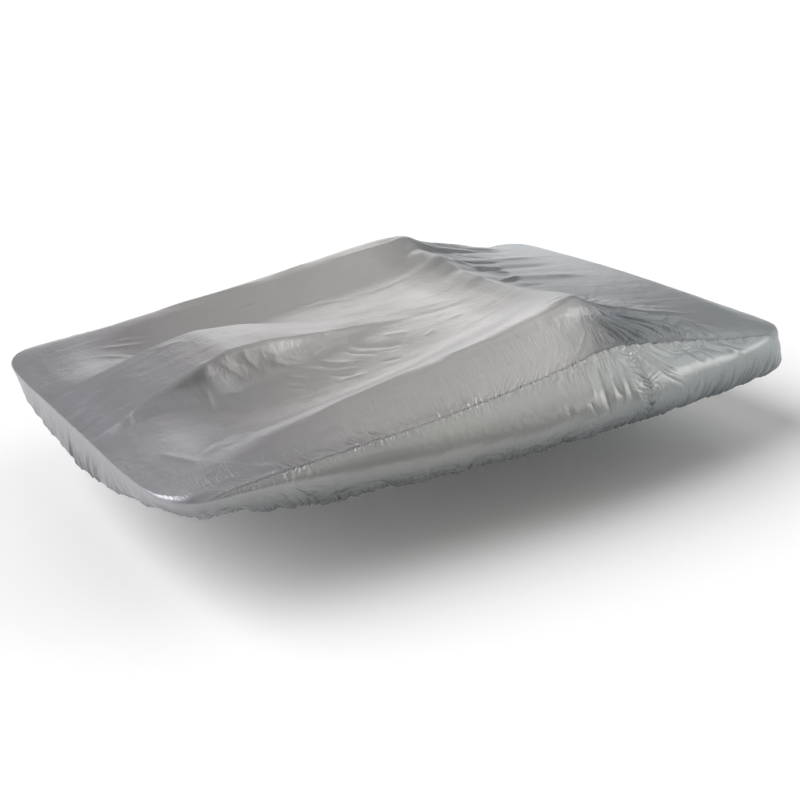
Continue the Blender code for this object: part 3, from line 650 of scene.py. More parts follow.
def crease_height(x, y, rows, flare=0.0):
    """Sum of the creases at each point."""
    total = np.zeros_like(x)
    for crease in rows:
        x0, y0, x1, y1, bow, half_width, height = crease.values()
        run_x, run_y = x1 - x0, y1 - y0
        size = math.hypot(run_x, run_y)
        half_width *= MILLIMETRE
        reach = CREASE_REACH * half_width * (1.0 + flare / 2.0) + abs(bow)
        near = (x > min(x0, x1) - reach) & (x < max(x0, x1) + reach)
        near &= (y > min(y0, y1) - reach) & (y < max(y0, y1) + reach)
        from_x, from_y = x[near] - x0, y[near] - y0
        along = (from_x * run_x + from_y * run_y) / size**2
        across = (from_y * run_x - from_x * run_y) / size
        along_inside = np.clip(along, 0.0, 1.0)
        across -= 4.0 * bow * along_inside * (1.0 - along_inside)
        width = half_width * (1.0 + flare * (along_inside - 0.5))
        ends = ease(along / CREASE_END) * ease((1.0 - along) / CREASE_END)
        total[near] += height * MILLIMETRE * ends * crisp(across / width)
    return total


def mirrored(rows):
    """The creases on the port side, a little moved and changed, as no two folds fall alike."""
    draw = np.random.default_rng(PORT_SEED)
    found = []
    for crease in rows:
        shift = draw.uniform(-PORT_SHIFT, PORT_SHIFT)
        growth = draw.uniform(*PORT_GROWTH)
        moved = dict(crease)
        moved["x0"] += shift * PORT_START_SHIFT
        moved["x1"] += shift
        moved["height"] *= growth
        for name in ("y0", "y1", "bow"):
            moved[name] = -crease[name]
        found.append(moved)
    return found


def side_creases(side):
    """The creases of one side's panels: the port ones are moved along and changed."""
    if side < 0:
        return SIDE_CREASES
    draw = np.random.default_rng(PORT_SEED + 1)
    found = []
    for crease in SIDE_CREASES:
        shift = draw.uniform(-PORT_PANEL_SHIFT, PORT_PANEL_SHIFT)
        found.append(dict(crease, x0=crease["x0"] + shift, x1=crease["x1"] + shift))
    return found


# --- puckers of the seams and gathers of the skirt ----------------------------------------------

# Puckers above and below the long seam, by x from the bow: lean is how far their line moves
# aft for each unit that it climbs from the seam, above and below how far they reach.
PUCKERS = table(
    "x lean above below height",
    (0.14, -0.2, 0.012, 0.007, 0.0007),
    (0.24, -0.4, 0.022, 0.010, 0.0017),
    (0.36, -0.7, 0.026, 0.013, 0.0033),
    (0.55, -1.2, 0.028, 0.013, 0.0036),
    (0.75, -0.3, 0.028, 0.015, 0.0038),
    (1.00, 0.4, 0.032, 0.018, 0.0041),
    (1.20, 1.4, 0.036, 0.022, 0.0042),
    (1.40, 1.2, 0.038, 0.037, 0.0042),
    (1.60, 0.3, 0.028, 0.056, 0.0041),
    (1.85, 0.4, 0.026, 0.030, 0.0036),
    (2.10, -0.4, 0.022, 0.033, 0.0033),
    (2.34, -0.4, 0.015, 0.022, 0.0017),
)
PUCKER_SPACING = 0.0150
PUCKER_CLUSTER = 0.060
# Reach and height between the clusters, and how much more they are within them.
REACH_BETWEEN = 0.5
REACH_WITHIN = 0.9
HEIGHT_BETWEEN = 0.55
HEIGHT_WITHIN = 0.7
PUCKER_CHANGE = 0.050
PUCKER_SLANT = 0.5
PUCKER_FADE = 1.3
SMALL_PUCKER_SHARE = 0.35
SMALL_PUCKER_CHANGE = 0.030
SEAM_LAP_HEIGHT = 0.0008
SEAM_LAP_WIDTH = 0.0085
SEAM_GROOVE_DEPTH = 0.0020
SEAM_GROOVE_WIDTH = 0.0020
SEAM_END_RAMP = 0.035
# The side cloth runs on under the top cloth by the seam allowance.
SEAM_ALLOWANCE = 0.0045
SEAM_TUCK = 0.0022
CROSS_PUCKER_SPACING = 0.0150
CROSS_PUCKER_REACH = 0.034
CROSS_PUCKER_HEIGHT = 0.0044
CROSS_GROOVE_DEPTH = 0.0032
CROSS_GROOVE_WIDTH = 0.0040

# Gathers of the skirt by distance along the rim from the middle of the bow: heights of the small,
# middle and wide folds, how far down the skirt they start, and how far aft their lines move on
# the way down.
GATHERS = table(
    "along small middle wide ripple starts lean",
    (0.00, 0.0024, 0.0054, 0.0026, 0.0000, 0.00, 0.010),
    (0.40, 0.0024, 0.0057, 0.0032, 0.0000, 0.00, 0.020),
    (0.60, 0.0021, 0.0045, 0.0040, 0.0015, 0.02, 0.030),
    (0.80, 0.0033, 0.0075, 0.0080, 0.0030, 0.02, 0.060),
    (1.00, 0.0030, 0.0063, 0.0070, 0.0034, 0.08, 0.060),
    (1.30, 0.0023, 0.0033, 0.0036, 0.0038, 0.35, 0.040),
    (2.00, 0.0023, 0.0039, 0.0036, 0.0034, 0.35, 0.020),
    (2.30, 0.0023, 0.0051, 0.0040, 0.0023, 0.15, -0.020),
    (2.60, 0.0018, 0.0063, 0.0044, 0.0006, 0.00, -0.060),
    (3.10, 0.0018, 0.0063, 0.0044, 0.0000, 0.00, -0.060),
    (3.40, 0.0018, 0.0054, 0.0036, 0.0000, 0.00, -0.020),
    (3.82, 0.0018, 0.0045, 0.0030, 0.0000, 0.02, 0.000),
)
SMALL_GATHER = 0.0085
MIDDLE_GATHER = 0.0240
WIDE_GATHER = 0.0620
RIPPLE_LENGTH = 0.050
RIPPLE_PART = 0.13
RIPPLE_STARTS = 0.35
RIPPLE_RAMP = 0.30
RIPPLE_BEND = 0.8
RIPPLE_BEND_LENGTH = 0.09
GATHER_SWAY = 0.030
GATHER_SWAY_LENGTH = 0.13
GATHER_CLUSTER = 0.17
GATHERS_BETWEEN = 0.3
SMALL_GATHERS_START = 0.55
SMALL_GATHERS_RAMP = 0.35
# Shares of the skirt's height over which the small, middle and wide folds change.
SMALL_CHANGE = 0.35
MIDDLE_CHANGE = 0.8
WIDE_CHANGE = 0.9


def seam_ends(x):
    """1 along the side, falling to 0 at the two ends of the long seam."""
    return ease((x - SEAM_BOW_X) / SEAM_END_RAMP) * ease((SEAM_STERN_X - x) / SEAM_END_RAMP)


def seam_pucker(x, side, above):
    """Height of the puckers and of the lapped seam, above being the distance up from the seam."""
    seed = seed_of("pucker", side)
    lean, height = from_table(PUCKERS, x, "lean", "height")
    reach_above, reach_below = from_table(PUCKERS, x, "above", "below")
    cluster = 0.5 + 0.5 * noise_line(x / PUCKER_CLUSTER, seed + 2)
    reach = np.where(above >= 0, reach_above, reach_below)
    reach = reach * (REACH_BETWEEN + REACH_WITHIN * cluster)
    place = x - lean * np.maximum(above, 0.0) - PUCKER_SLANT * np.minimum(above, 0.0)
    wave = billow(place / PUCKER_SPACING, above / PUCKER_CHANGE + 3.0, seed)
    small = billow(place / (0.5 * PUCKER_SPACING), above / SMALL_PUCKER_CHANGE + 9.0, seed + 3)
    wave += SMALL_PUCKER_SHARE * small
    height = height * (HEIGHT_BETWEEN + HEIGHT_WITHIN * cluster)
    fade = np.exp(-((np.abs(above) / reach) ** PUCKER_FADE))
    lap = ease(1.5 - np.abs(above / SEAM_LAP_WIDTH - 0.5)) * SEAM_LAP_HEIGHT
    groove = -SEAM_GROOVE_DEPTH * np.exp(-((above / SEAM_GROOVE_WIDTH) ** 2))
    return (height * wave * fade + lap + groove) * seam_ends(x)


def cross_pucker(x, down, side):
    """Puckers and groove of the seam between the fore and the aft side panel."""
    away = x - CROSS_SEAM_X
    place = down + PUCKER_SLANT * np.abs(away)
    seed = seed_of("cross_pucker", side)
    wave = billow(place / CROSS_PUCKER_SPACING, away / PUCKER_CHANGE + 5.0, seed)
    fade = np.exp(-((np.abs(away) / CROSS_PUCKER_REACH) ** PUCKER_FADE))
    groove = -CROSS_GROOVE_DEPTH * np.exp(-((away / CROSS_GROOVE_WIDTH) ** 2))
    lap = ease(1.5 - np.abs(away / SEAM_LAP_WIDTH + 0.5)) * SEAM_LAP_HEIGHT
    return CROSS_PUCKER_HEIGHT * wave * fade + groove + lap


def hem_gather(along, part, side):
    """Upright folds of the skirt, which grow towards the elastic of the hem."""
    seed = seed_of("gather", side)
    part = np.clip(part, 0.0, 1.0)
    small, middle, wide = from_table(GATHERS, along, "small", "middle", "wide")
    ripple, starts, lean = from_table(GATHERS, along, "ripple", "starts", "lean")
    sway = GATHER_SWAY * noise_line(along / GATHER_SWAY_LENGTH, seed + 4)
    place = along + (sway - lean) * part
    cluster = 0.5 + 0.5 * noise_line(along / GATHER_CLUSTER, seed + 2)
    grow = ease((part - starts) / (1.0 - starts))
    edge = ease((part - SMALL_GATHERS_START) / SMALL_GATHERS_RAMP)
    total = small * edge * billow(place / SMALL_GATHER, part / SMALL_CHANGE + 7.0, seed)
    folds = billow(place / MIDDLE_GATHER, part / MIDDLE_CHANGE, seed + 1)
    total += middle * grow * (GATHERS_BETWEEN + cluster) * folds
    sweep = noise_field(place / WIDE_GATHER + 60, part * WIDE_CHANGE + 30, seed + 3)
    total += wide * grow * sweep
    bent = part / RIPPLE_PART + RIPPLE_BEND * noise_line(along / RIPPLE_BEND_LENGTH, seed + 6)
    waves = billow(along / RIPPLE_LENGTH + 20, bent + 20, seed + 5)
    return total + ripple * ease((part - RIPPLE_STARTS) / RIPPLE_RAMP) * waves


# Folds that spread from the tops of the seat back, by angle: 0 is aft, 90 outboard, -90 inboard.
PEAK_X = 1.600
PEAK_Y = 0.500
PEAK_FOLDS = table(
    "angle height reach",
    (-100.0, 0.0000, 0.45),
    (-84.0, 0.0011, 0.50),
    (-60.0, 0.0021, 0.48),
    (-35.0, 0.0020, 0.45),
    (-12.0, 0.0014, 0.45),
    (6.0, 0.0026, 0.62),
    (30.0, 0.0043, 0.56),
    (60.0, 0.0055, 0.40),
    (88.0, 0.0049, 0.32),
    (104.0, 0.0032, 0.24),
    (120.0, 0.0000, 0.20),
)
PEAK_FOLD_ANGLE = 7.5
PEAK_FOLDS_FROM = 0.020
PEAK_FOLDS_FULL = 0.110
PEAK_FOLDS_FADE_FROM = 0.40
PEAK_REACH_SPREAD = 0.35
PEAK_REACH_ANGLE = 9.0
PEAK_SWAY_ANGLE = 5.0
PEAK_SWAY_LENGTH = 0.11
PEAK_CHANGE = 0.22
SMALL_PEAK_SHARE = 0.45
SMALL_PEAK_TIMES = 2.3
SMALL_PEAK_CHANGE = 0.12


def peak_folds(x, outboard, side):
    """Folds from the top of the seat back, outboard being the distance from it over the cloth."""
    seed = seed_of("peak_fold", side)
    away = np.hypot(x - PEAK_X, outboard)
    angle = np.degrees(np.arctan2(outboard, x - PEAK_X))
    height, reach = from_table(PEAK_FOLDS, angle, "height", "reach")
    reach = reach * (1.0 + PEAK_REACH_SPREAD * noise_line(angle / PEAK_REACH_ANGLE + 40, seed + 2))
    sway = PEAK_SWAY_ANGLE * noise_line(away / PEAK_SWAY_LENGTH, seed + 3)
    turn = (angle + sway) / PEAK_FOLD_ANGLE + 60
    small = billow(SMALL_PEAK_TIMES * turn, away / SMALL_PEAK_CHANGE + 9, seed + 1)
    wave = billow(turn, away / PEAK_CHANGE + 5, seed) + SMALL_PEAK_SHARE * small
    grow = ease((away - PEAK_FOLDS_FROM) / (PEAK_FOLDS_FULL - PEAK_FOLDS_FROM))
    fade = 1.0 - ease((away / reach - PEAK_FOLDS_FADE_FROM) / (1.0 - PEAK_FOLDS_FADE_FROM))
    return height * wave * grow * fade


# Crumpling: lengths of the noise along and across the boat, how far its lines slant, its height.
CRUMPLES = table(
    "along across slant height offset seed",
    (0.110, 0.036, 0.00, 0.00062, 40, 71),
    (0.200, 0.017, 0.08, 0.00036, 90, 72),
    (0.030, 0.021, 0.00, 0.00028, 40, 73),
)


def crumple(x, y):
    """Faint unevenness of the thin cloth, drawn out along the boat."""
    total = np.zeros_like(x)
    for kind in CRUMPLES:
        across = (y + kind["slant"] * x) / kind["across"] + kind["offset"]
        total += kind["height"] * noise_field(x / kind["along"] + 40, across, kind["seed"])
    return total


# --- grids of points ----------------------------------------------------------------------------

UP = np.array([0.0, 0.0, 1.0])


def positions(stops):
    """Numbers from the first stop on, in even steps of about the size given by each stop."""
    found = [0.0]
    for stop in stops:
        start = found[-1]
        count = 2 * max(1, round((stop["to"] - start) / stop["step"] / 2))
        found += list(np.linspace(start, stop["to"], count + 1)[1:])
    return np.array(found)


def normals_of(grid, up):
    """Unit normals of a grid of points, turned so that they point to the outside."""
    normal = np.cross(np.gradient(grid, axis=0), np.gradient(grid, axis=1))
    normal /= np.maximum(np.linalg.norm(normal, axis=-1, keepdims=True), 1e-12)
    return normal if np.sum(normal * up) > 0 else -normal


def lengths_along(grid):
    """Distance of each point from the first row, down its column."""
    step = np.linalg.norm(np.diff(grid, axis=0), axis=-1)
    return np.concatenate([np.zeros((1, grid.shape[1])), np.cumsum(step, axis=0)])


HEM_ROLL_RADIUS = 0.0045
HEM_ROLL_ROWS = 8
HEM_ROLL_TURN = 1.5 * math.pi


def hem_roll(hem, outward):
    """Rows of points that turn the hem under, from the hem inwards."""
    turn = np.linspace(0.0, HEM_ROLL_TURN, HEM_ROLL_ROWS + 1)[1:, None, None]
    centre = hem - HEM_ROLL_RADIUS * outward
    return centre + HEM_ROLL_RADIUS * (np.cos(turn) * outward - np.sin(turn) * UP)


def outward_of(along, side):
    """Flat directions out of the rim, on either side."""
    flat = rim_at(along)[1]
    return np.stack([flat[..., 0], side * flat[..., 1], np.zeros_like(along)], -1)


# Rows and columns of the top sheet: the size of their steps up to each distance.
TOP_ROWS = table(
    "to step",
    (0.003, 0.0006),
    (0.012, 0.0015),
    (2.456, 0.0028),
    (2.465, 0.0015),
    (2.468, 0.0006),
)
TOP_COLUMNS = table(
    "to step",
    (0.600, 0.0036),
    (0.7997, 0.0043),
)
SKIRT_ROWS = 40
PUCKERED_FROM = 0.630
DECK_FADE_FROM = 0.20
DECK_FADE_TO = 0.9


def top_shares():
    """Columns of the top panel as shares of its half width, closer together at the corners."""
    along = positions(TOP_COLUMNS) * float(bow_along(SEAM_BOW_Y)) / TOP_COLUMNS[-1]["to"]
    share = rim_y(along) / SEAM_BOW_Y
    share[-1] = 1.0
    return np.concatenate([-share[:0:-1], share])


# The cloth leaves the walls of the console in wide hollows and bends softly over its crests and
# round the tops of the seat back: how far it is evened out, and where.
HOLLOW_SOFTNESS = 0.024
HOLLOW_STARTS = 0.010
HOLLOW_FULL = 0.040
HOLLOW_ENDS_Y = 0.500
HOLLOW_ENDS_X = 1.50
HOLLOW_RAMP_BOW = 0.05
HOLLOW_RAMP_AFT = 0.10
RAMP_Y = 0.06
CREST_STARTS_Y = 0.38
CREST_STARTS_X = 0.60
CREST_RAMP_FORE = 0.40
CREST_ENDS_X = 2.20
CREST_RAMP_AFT = 0.30
CREST_SOFTNESS = 0.011
PEAK_SOFTNESS = 0.017
PEAK_SOFT_WITHIN = 0.075
BELL_REACH = 3.0


def bell(spread, reach):
    """Weights of a bell curve that sum to 1."""
    weight = np.exp(-0.5 * (np.arange(-reach, reach + 1) / spread) ** 2)
    return weight / weight.sum()


def evened(grid, spread, axis):
    """A grid of numbers evened out along an axis, spread being in steps of the grid."""
    reach = int(BELL_REACH * spread) + 1
    weight = bell(spread, reach)
    lines = np.moveaxis(grid, axis, 1)
    even = np.array([np.convolve(np.pad(line, reach, "edge"), weight, "valid") for line in lines])
    return np.moveaxis(even, 1, axis)


def with_soft_bends(x, y, height):
    """The heights of the top evened out in the hollows, over the crests and round the peaks."""
    column_step = SEAM_BOW_Y * 2 / y.shape[1]
    row_step = LENGTH / y.shape[0]
    half_y = np.abs(y)
    beside = half_y - from_table(SECTIONS, x, "hump_y")
    share = ease((beside - HOLLOW_STARTS) / (HOLLOW_FULL - HOLLOW_STARTS))
    share *= ease((HOLLOW_ENDS_Y - half_y) / RAMP_Y)
    share *= ease((HOLLOW_ENDS_X - x) / HOLLOW_RAMP_AFT) * ease(x / HOLLOW_RAMP_BOW)
    height = height + share * (evened(height, HOLLOW_SOFTNESS / column_step, 1) - height)
    share = ease((half_y - CREST_STARTS_Y) / RAMP_Y)
    share *= ease((x - CREST_STARTS_X) / CREST_RAMP_FORE)
    share *= ease((CREST_ENDS_X - x) / CREST_RAMP_AFT)
    height = height + share * (evened(height, CREST_SOFTNESS / column_step, 1) - height)
    round_peak = evened(height, PEAK_SOFTNESS / column_step, 1)
    round_peak = evened(round_peak, PEAK_SOFTNESS / row_step, 0)
    away = np.hypot(x - PEAK_X, half_y - PEAK_Y)
    share = np.exp(-((away / PEAK_SOFT_WITHIN) ** 2))
    return height + share * (round_peak - height)


# How far the skirt leans in right from the rim, by distance along the rim from the middle of
# the bow.
TUCKS = table(
    "along tuck",
    (0.20, 0.0),
    (0.45, 0.7),
    (0.60, 1.0),
    (0.95, 1.0),
    (1.30, 0.3),
    (1.80, 0.0),
)


def skirt_rows(along, side):
    """Rows of points of the skirt, from the rim to the hem."""
    part = np.linspace(0.0, 1.0, SKIRT_ROWS + 1)[:, None] + np.zeros_like(along)
    spread_along = np.zeros_like(part) + along
    spread_side = np.zeros_like(part) + side
    points = skirt_points(spread_along, part, spread_side)
    earlier = part - from_table(SKIRT_SECTION, part, "under")
    tucked = from_table(TUCKS, along, "tuck") * from_table(SKIRT, along, "inset")
    points -= outward_of(along, side) * (tucked * earlier)[..., None]
    return points, part, spread_along, spread_side


def deck_push(x, y):
    """Height of the creases and crumpling of the draped cloth, and the share that is not edge."""
    share = ease(edge_rounding(x, np.abs(y)) / DECK_FADE_TO - DECK_FADE_FROM)
    lines = DECK_CREASES + SLOPE_CREASES + STARBOARD_CREST + mirrored(STARBOARD_CREST)
    push = crease_height(x, y, lines)
    push += crease_height(x, y, FAN_CREASES + mirrored(FAN_CREASES), FAN_FLARE)
    return (push + crumple(x, y)) * share, share


def top_sheet():
    """Points, normals and cloth coordinates of the top panel, rows running from hem to hem."""
    share = top_shares()
    side = np.where(share >= 0, 1.0, -1.0)
    size = np.abs(share)
    bow = bow_along(size * SEAM_BOW_Y)
    stern = stern_along(size * SEAM_STERN_Y)
    row = positions(TOP_ROWS)[:, None]
    bow_x = rim_x(bow)
    stern_x = rim_x(stern)
    x = row + bow_x * np.clip(1.0 - row / END_ADJUSTED_WITHIN, 0.0, 1.0)
    x = x - (LENGTH - stern_x) * np.clip(1.0 - (LENGTH - row) / END_ADJUSTED_WITHIN, 0.0, 1.0)
    y = share * seam_y(x)
    deck = to_world(x, y, with_soft_bends(x, y, top_height(x, y)))
    above = (1.0 - size) * seam_y(x)
    push, _ = deck_push(x, y)
    for way in (-1.0, 1.0):
        mine = np.broadcast_to(side == way, x.shape)
        push[mine] += seam_pucker(x[mine], way, above[mine])
        push[mine] += peak_folds(x[mine], np.abs(y[mine]) - PEAK_Y, way)
    sheets, pushes = [deck], [push]
    for along, order in ((bow, slice(None, 0, -1)), (stern, slice(1, None))):
        points, part, spread, sides = skirt_rows(along, side)
        folds = hem_gather(spread, part, -1.0) * (sides < 0)
        folds += hem_gather(spread, part, 1.0) * (sides > 0)
        sheets.insert(0 if along is bow else 2, points[order])
        pushes.insert(0 if along is bow else 2, folds[order])
    base = np.concatenate(sheets)
    points = base + np.concatenate(pushes)[..., None] * normals_of(base, UP)
    bow_roll = hem_roll(points[0], outward_of(bow, side))[::-1]
    stern_roll = hem_roll(points[-1], outward_of(stern, side))
    points = np.concatenate([bow_roll, points, stern_roll])
    down = lengths_along(points)
    down -= down[points.shape[0] // 2]
    skirt = np.zeros((SKIRT_ROWS + HEM_ROLL_ROWS, 1))
    bow_y, stern_y = share * SEAM_BOW_Y, share * SEAM_STERN_Y
    across = np.concatenate([bow_y + skirt, y, stern_y + skirt])
    cloth = np.stack([across, down], -1)
    return points, normals_of(points, UP), cloth, share


SIDE_STATION_STEP = 0.0029
SIDE_ROWS = 92
SIDE_FACES_UP = 0.4

# How softly the side cloth bends over the rim: the length that it is evened out over, by x.
SIDE_SOFTNESS = table(
    "x over",
    (0.140, 0.001),
    (0.250, 0.004),
    (0.400, 0.018),
    (0.600, 0.032),
    (1.000, 0.044),
    (1.550, 0.044),
    (1.800, 0.026),
    (2.100, 0.014),
    (2.250, 0.008),
    (2.345, 0.001),
)


def side_stations():
    """Places of the side's columns by x, and the number of the column at the cross seam."""
    fore = max(1, round((CROSS_SEAM_X - SEAM_BOW_X) / SIDE_STATION_STEP))
    aft = max(1, round((SEAM_STERN_X - CROSS_SEAM_X) / SIDE_STATION_STEP))
    stations = [np.linspace(SEAM_BOW_X, CROSS_SEAM_X, fore + 1)]
    stations.append(np.linspace(CROSS_SEAM_X, SEAM_STERN_X, aft + 1)[1:])
    return np.concatenate(stations), fore


def evenly(path, count):
    """The path resampled to even steps; its first three columns are the point."""
    length = distances(path[:, :3])
    return on_line(np.linspace(0.0, length[-1], count + 1), length, path)


def softened(lines, over):
    """Columns of points evened out over a length, with both their ends kept."""
    step = np.linalg.norm(np.diff(lines, axis=0), axis=-1).mean(axis=0)
    count = len(lines)
    turned = lines[count - 2:0:-1]
    before, after = 2 * lines[0] - turned, 2 * lines[-1] - turned
    long = np.concatenate([before, lines, after])
    result = np.empty_like(lines)
    for index in range(lines.shape[1]):
        spread = over[index] / step[index]
        weight = bell(spread, min(count - 2, int(BELL_REACH * spread) + 1))
        for axis in range(3):
            smooth_line = np.convolve(long[:, index, axis], weight, "same")
            result[:, index, axis] = smooth_line[count - 2:2 * count - 2]
    return result


def side_sheet(side):
    """Points, normals and cloth coordinates of one side, rows running from the seam to the hem."""
    stations, fore = side_stations()
    along = side_along(stations)
    edge_y = rim_y(along)
    start = np.minimum(seam_y(stations), edge_y)
    t = np.linspace(0.0, 1.0, SIDE_ROWS + 1)[:, None]
    y = edge_y - (edge_y - start) * (1.0 - t) ** 2
    x = stations + np.zeros_like(y)
    strip = to_world(x, side * y, top_height(x, side * y))
    points, part, _, _ = skirt_rows(along, np.full_like(along, side))
    parts = np.concatenate([np.zeros_like(y), part[1:]])
    paths = np.concatenate([np.concatenate([strip, points[1:]]), parts[..., None]], -1)
    lines = np.stack([evenly(paths[:, index], SIDE_ROWS) for index in range(len(stations))], 1)
    base = softened(lines[..., :3], from_table(SIDE_SOFTNESS, stations, "over"))
    part = lines[..., 3]
    down = lengths_along(base)
    x = stations + np.zeros_like(down)
    y = base[..., 1]
    push, share = deck_push(x, y)
    push += crease_height(x, down, side_creases(side)) + crumple(x, down) * (1.0 - share)
    push += seam_pucker(x, side, -down) + cross_pucker(x, down, side)
    push += peak_folds(x, seam_y(x) - PEAK_Y + down, side)
    push = push * seam_ends(x) + hem_gather(along + np.zeros_like(down), part, side)
    outside = side * np.array([0.0, 1.0, 0.0]) + SIDE_FACES_UP * UP
    points = base + push[..., None] * normals_of(base, outside)
    roll = hem_roll(points[-1], outward_of(along, side))
    edge = points[0] - points[1]
    edge = SEAM_ALLOWANCE * edge / np.linalg.norm(edge, axis=1, keepdims=True)
    tucked = points[0] + edge - SEAM_TUCK * normals_of(base, outside)[0]
    points = np.concatenate([tucked[None], points, roll])
    cloth = np.stack([stations + np.zeros(points.shape[:2]), -lengths_along(points)], -1)
    return points, normals_of(points, outside), cloth, fore


# --- meshes -------------------------------------------------------------------------------------


def numbers_of(points):
    """The number of each point of an array of points."""
    return np.arange(points.size // 3).reshape(points.shape[:-1])


def split_cells(a, b, c, d):
    """Two triangles for each cell with the corners a, b, c and d."""
    halves = [np.stack(corners, -1).reshape(-1, 3) for corners in ((a, b, c), (a, c, d))]
    return np.concatenate(halves)


def grid_faces(index):
    """Two triangles for each cell of a grid of point numbers."""
    return split_cells(index[:-1, :-1], index[:-1, 1:], index[1:, 1:], index[1:, :-1])


def joint_faces(coarse, fine):
    """Triangles between a line of points and a neighbour line with twice as many."""
    one = np.stack([coarse[:-1], fine[:-2:2], fine[1::2]], -1)
    two = np.stack([coarse[:-1], fine[1::2], coarse[1:]], -1)
    three = np.stack([coarse[1:], fine[1::2], fine[2::2]], -1)
    return np.concatenate([one, two, three])


BAKE_MARGIN = 0.01


def add_cloth_layers(mesh, cloth, corners):
    """The cloth coordinates in metres, and the same packed into the unit square."""
    size = np.ptp(cloth, axis=0).max()
    packed = BAKE_MARGIN + (1.0 - 2.0 * BAKE_MARGIN) * (cloth - cloth.min(0)) / size
    for layer_name, values in (("cloth", cloth), ("OFBake", packed)):
        layer = mesh.uv_layers.new(name=layer_name)
        layer.uv.foreach_set("vector", values[corners].astype(np.float32).ravel())


def add_object(name, data):
    piece = bpy.data.objects.new(name, data)
    bpy.context.scene.collection.objects.link(piece)
    return piece


def mesh_piece(name, points, faces, normals, cloth):
    """An object from the points that the faces use, with the normals of the whole sheet."""
    used, faces = np.unique(faces, return_inverse=True)
    faces = faces.reshape(-1, 3)
    points = points.reshape(-1, 3)[used]
    normals = normals.reshape(-1, 3)[used]
    cloth = cloth.reshape(-1, 2)[used]
    corner = points[faces]
    turned = np.cross(corner[:, 1] - corner[:, 0], corner[:, 2] - corner[:, 0])
    if np.sum(turned * normals[faces[:, 0]]) < 0:
        faces = faces[:, ::-1]
    mesh = bpy.data.meshes.new(name)
    mesh.vertices.add(len(points))
    mesh.vertices.foreach_set("co", points.astype(np.float32).ravel())
    mesh.loops.add(faces.size)
    mesh.loops.foreach_set("vertex_index", faces.astype(np.int32).ravel())
    mesh.polygons.add(len(faces))
    mesh.polygons.foreach_set("loop_start", np.arange(0, faces.size, 3, dtype=np.int32))
    mesh.polygons.foreach_set("use_smooth", np.ones(len(faces), bool))
    mesh.update(calc_edges=True)
    add_cloth_layers(mesh, cloth, faces.ravel())
    mesh.normals_split_custom_set_from_vertices(normals.astype(np.float32))
    return add_object(name, mesh)


def top_faces(index, share):
    """Faces of the top panel for some of its rows: every second row is left out in the middle,
    where the cloth is smooth."""
    fine = np.abs(share) * SEAM_BOW_Y >= PUCKERED_FROM
    left = int(np.argmin(fine))
    right = len(share) - left
    faces = [grid_faces(index[:, :left]), grid_faces(index[:, right:])]
    middle = index[::2, left:right]
    faces.append(grid_faces(middle))
    faces.append(joint_faces(middle[:, 0], index[:, left - 1])[:, ::-1])
    faces.append(joint_faces(middle[:, -1], index[:, right]))
    return np.concatenate(faces)


# --- stitches -----------------------------------------------------------------------------------

STITCH_PITCH = 0.0062
STITCH_LENGTH = 0.0042
STITCH_RADIUS = 0.00045
STITCH_ABOVE_SEAM = 0.0036
STITCH_SIDES = 5
# The cross seam is stitched some columns ahead of its line, and stops some rows above the hem.
CROSS_STITCHES_BESIDE = 2
CROSS_STITCHES_END = 4
STITCH_RINGS = table(
    "at radius lift",
    (-0.50, 0.15, -0.6),
    (-0.32, 0.95, 0.5),
    (0.32, 0.95, 0.5),
    (0.50, 0.15, -0.6),
)


def stitches_on(line, normals):
    """Points and faces of a row of stitches that lie along a line on the cloth."""
    length = distances(line)
    centre = np.arange(STITCH_PITCH, length[-1] - STITCH_PITCH, STITCH_PITCH)
    turn = 2.0 * np.pi * np.arange(STITCH_SIDES) / STITCH_SIDES
    rings = []
    for ring in STITCH_RINGS:
        at = centre + ring["at"] * STITCH_LENGTH
        place, up = on_line(at, length, line), on_line(at, length, normals)
        ahead = on_line(at + STITCH_LENGTH, length, line)
        sideways = np.cross(ahead - place, up)
        sideways /= np.linalg.norm(sideways, axis=1, keepdims=True)
        radius = STITCH_RADIUS * ring["radius"]
        around = np.cos(turn)[:, None, None] * sideways + np.sin(turn)[:, None, None] * up
        rings.append(place + STITCH_RADIUS * ring["lift"] * up + radius * around)
    points = np.array(rings).transpose(2, 0, 1, 3)
    number = numbers_of(points)
    ring_loop = np.concatenate([number, number[:, :, :1]], 2)
    a, b = ring_loop[:, :-1, :-1], ring_loop[:, :-1, 1:]
    c, d = ring_loop[:, 1:, 1:], ring_loop[:, 1:, :-1]
    walls = split_cells(a, b, c, d)
    ends = [np.stack([number[:, end, 0], number[:, end, k], number[:, end, k + 1]], -1)[:, ::way]
            for end, way in ((0, -1), (-1, 1)) for k in range(1, STITCH_SIDES - 1)]
    return points.reshape(-1, 3), np.concatenate([walls] + ends)


def stitch_piece(name, rows):
    """One object from several rows of stitches."""
    points, faces, start = [], [], 0
    for line, normals in rows:
        found, triangles = stitches_on(line, normals)
        points.append(found)
        faces.append(triangles + start)
        start += len(found)
    points = np.concatenate(points)
    mesh = bpy.data.meshes.new(name)
    mesh.from_pydata(points.tolist(), [], np.concatenate(faces).tolist())
    mesh.shade_smooth()
    corner = np.empty(len(mesh.loops), np.int32)
    mesh.loops.foreach_get("vertex_index", corner)
    add_cloth_layers(mesh, points[:, [0, 2]], corner)
    return add_object(name, mesh)


# --- materials ----------------------------------------------------------------------------------

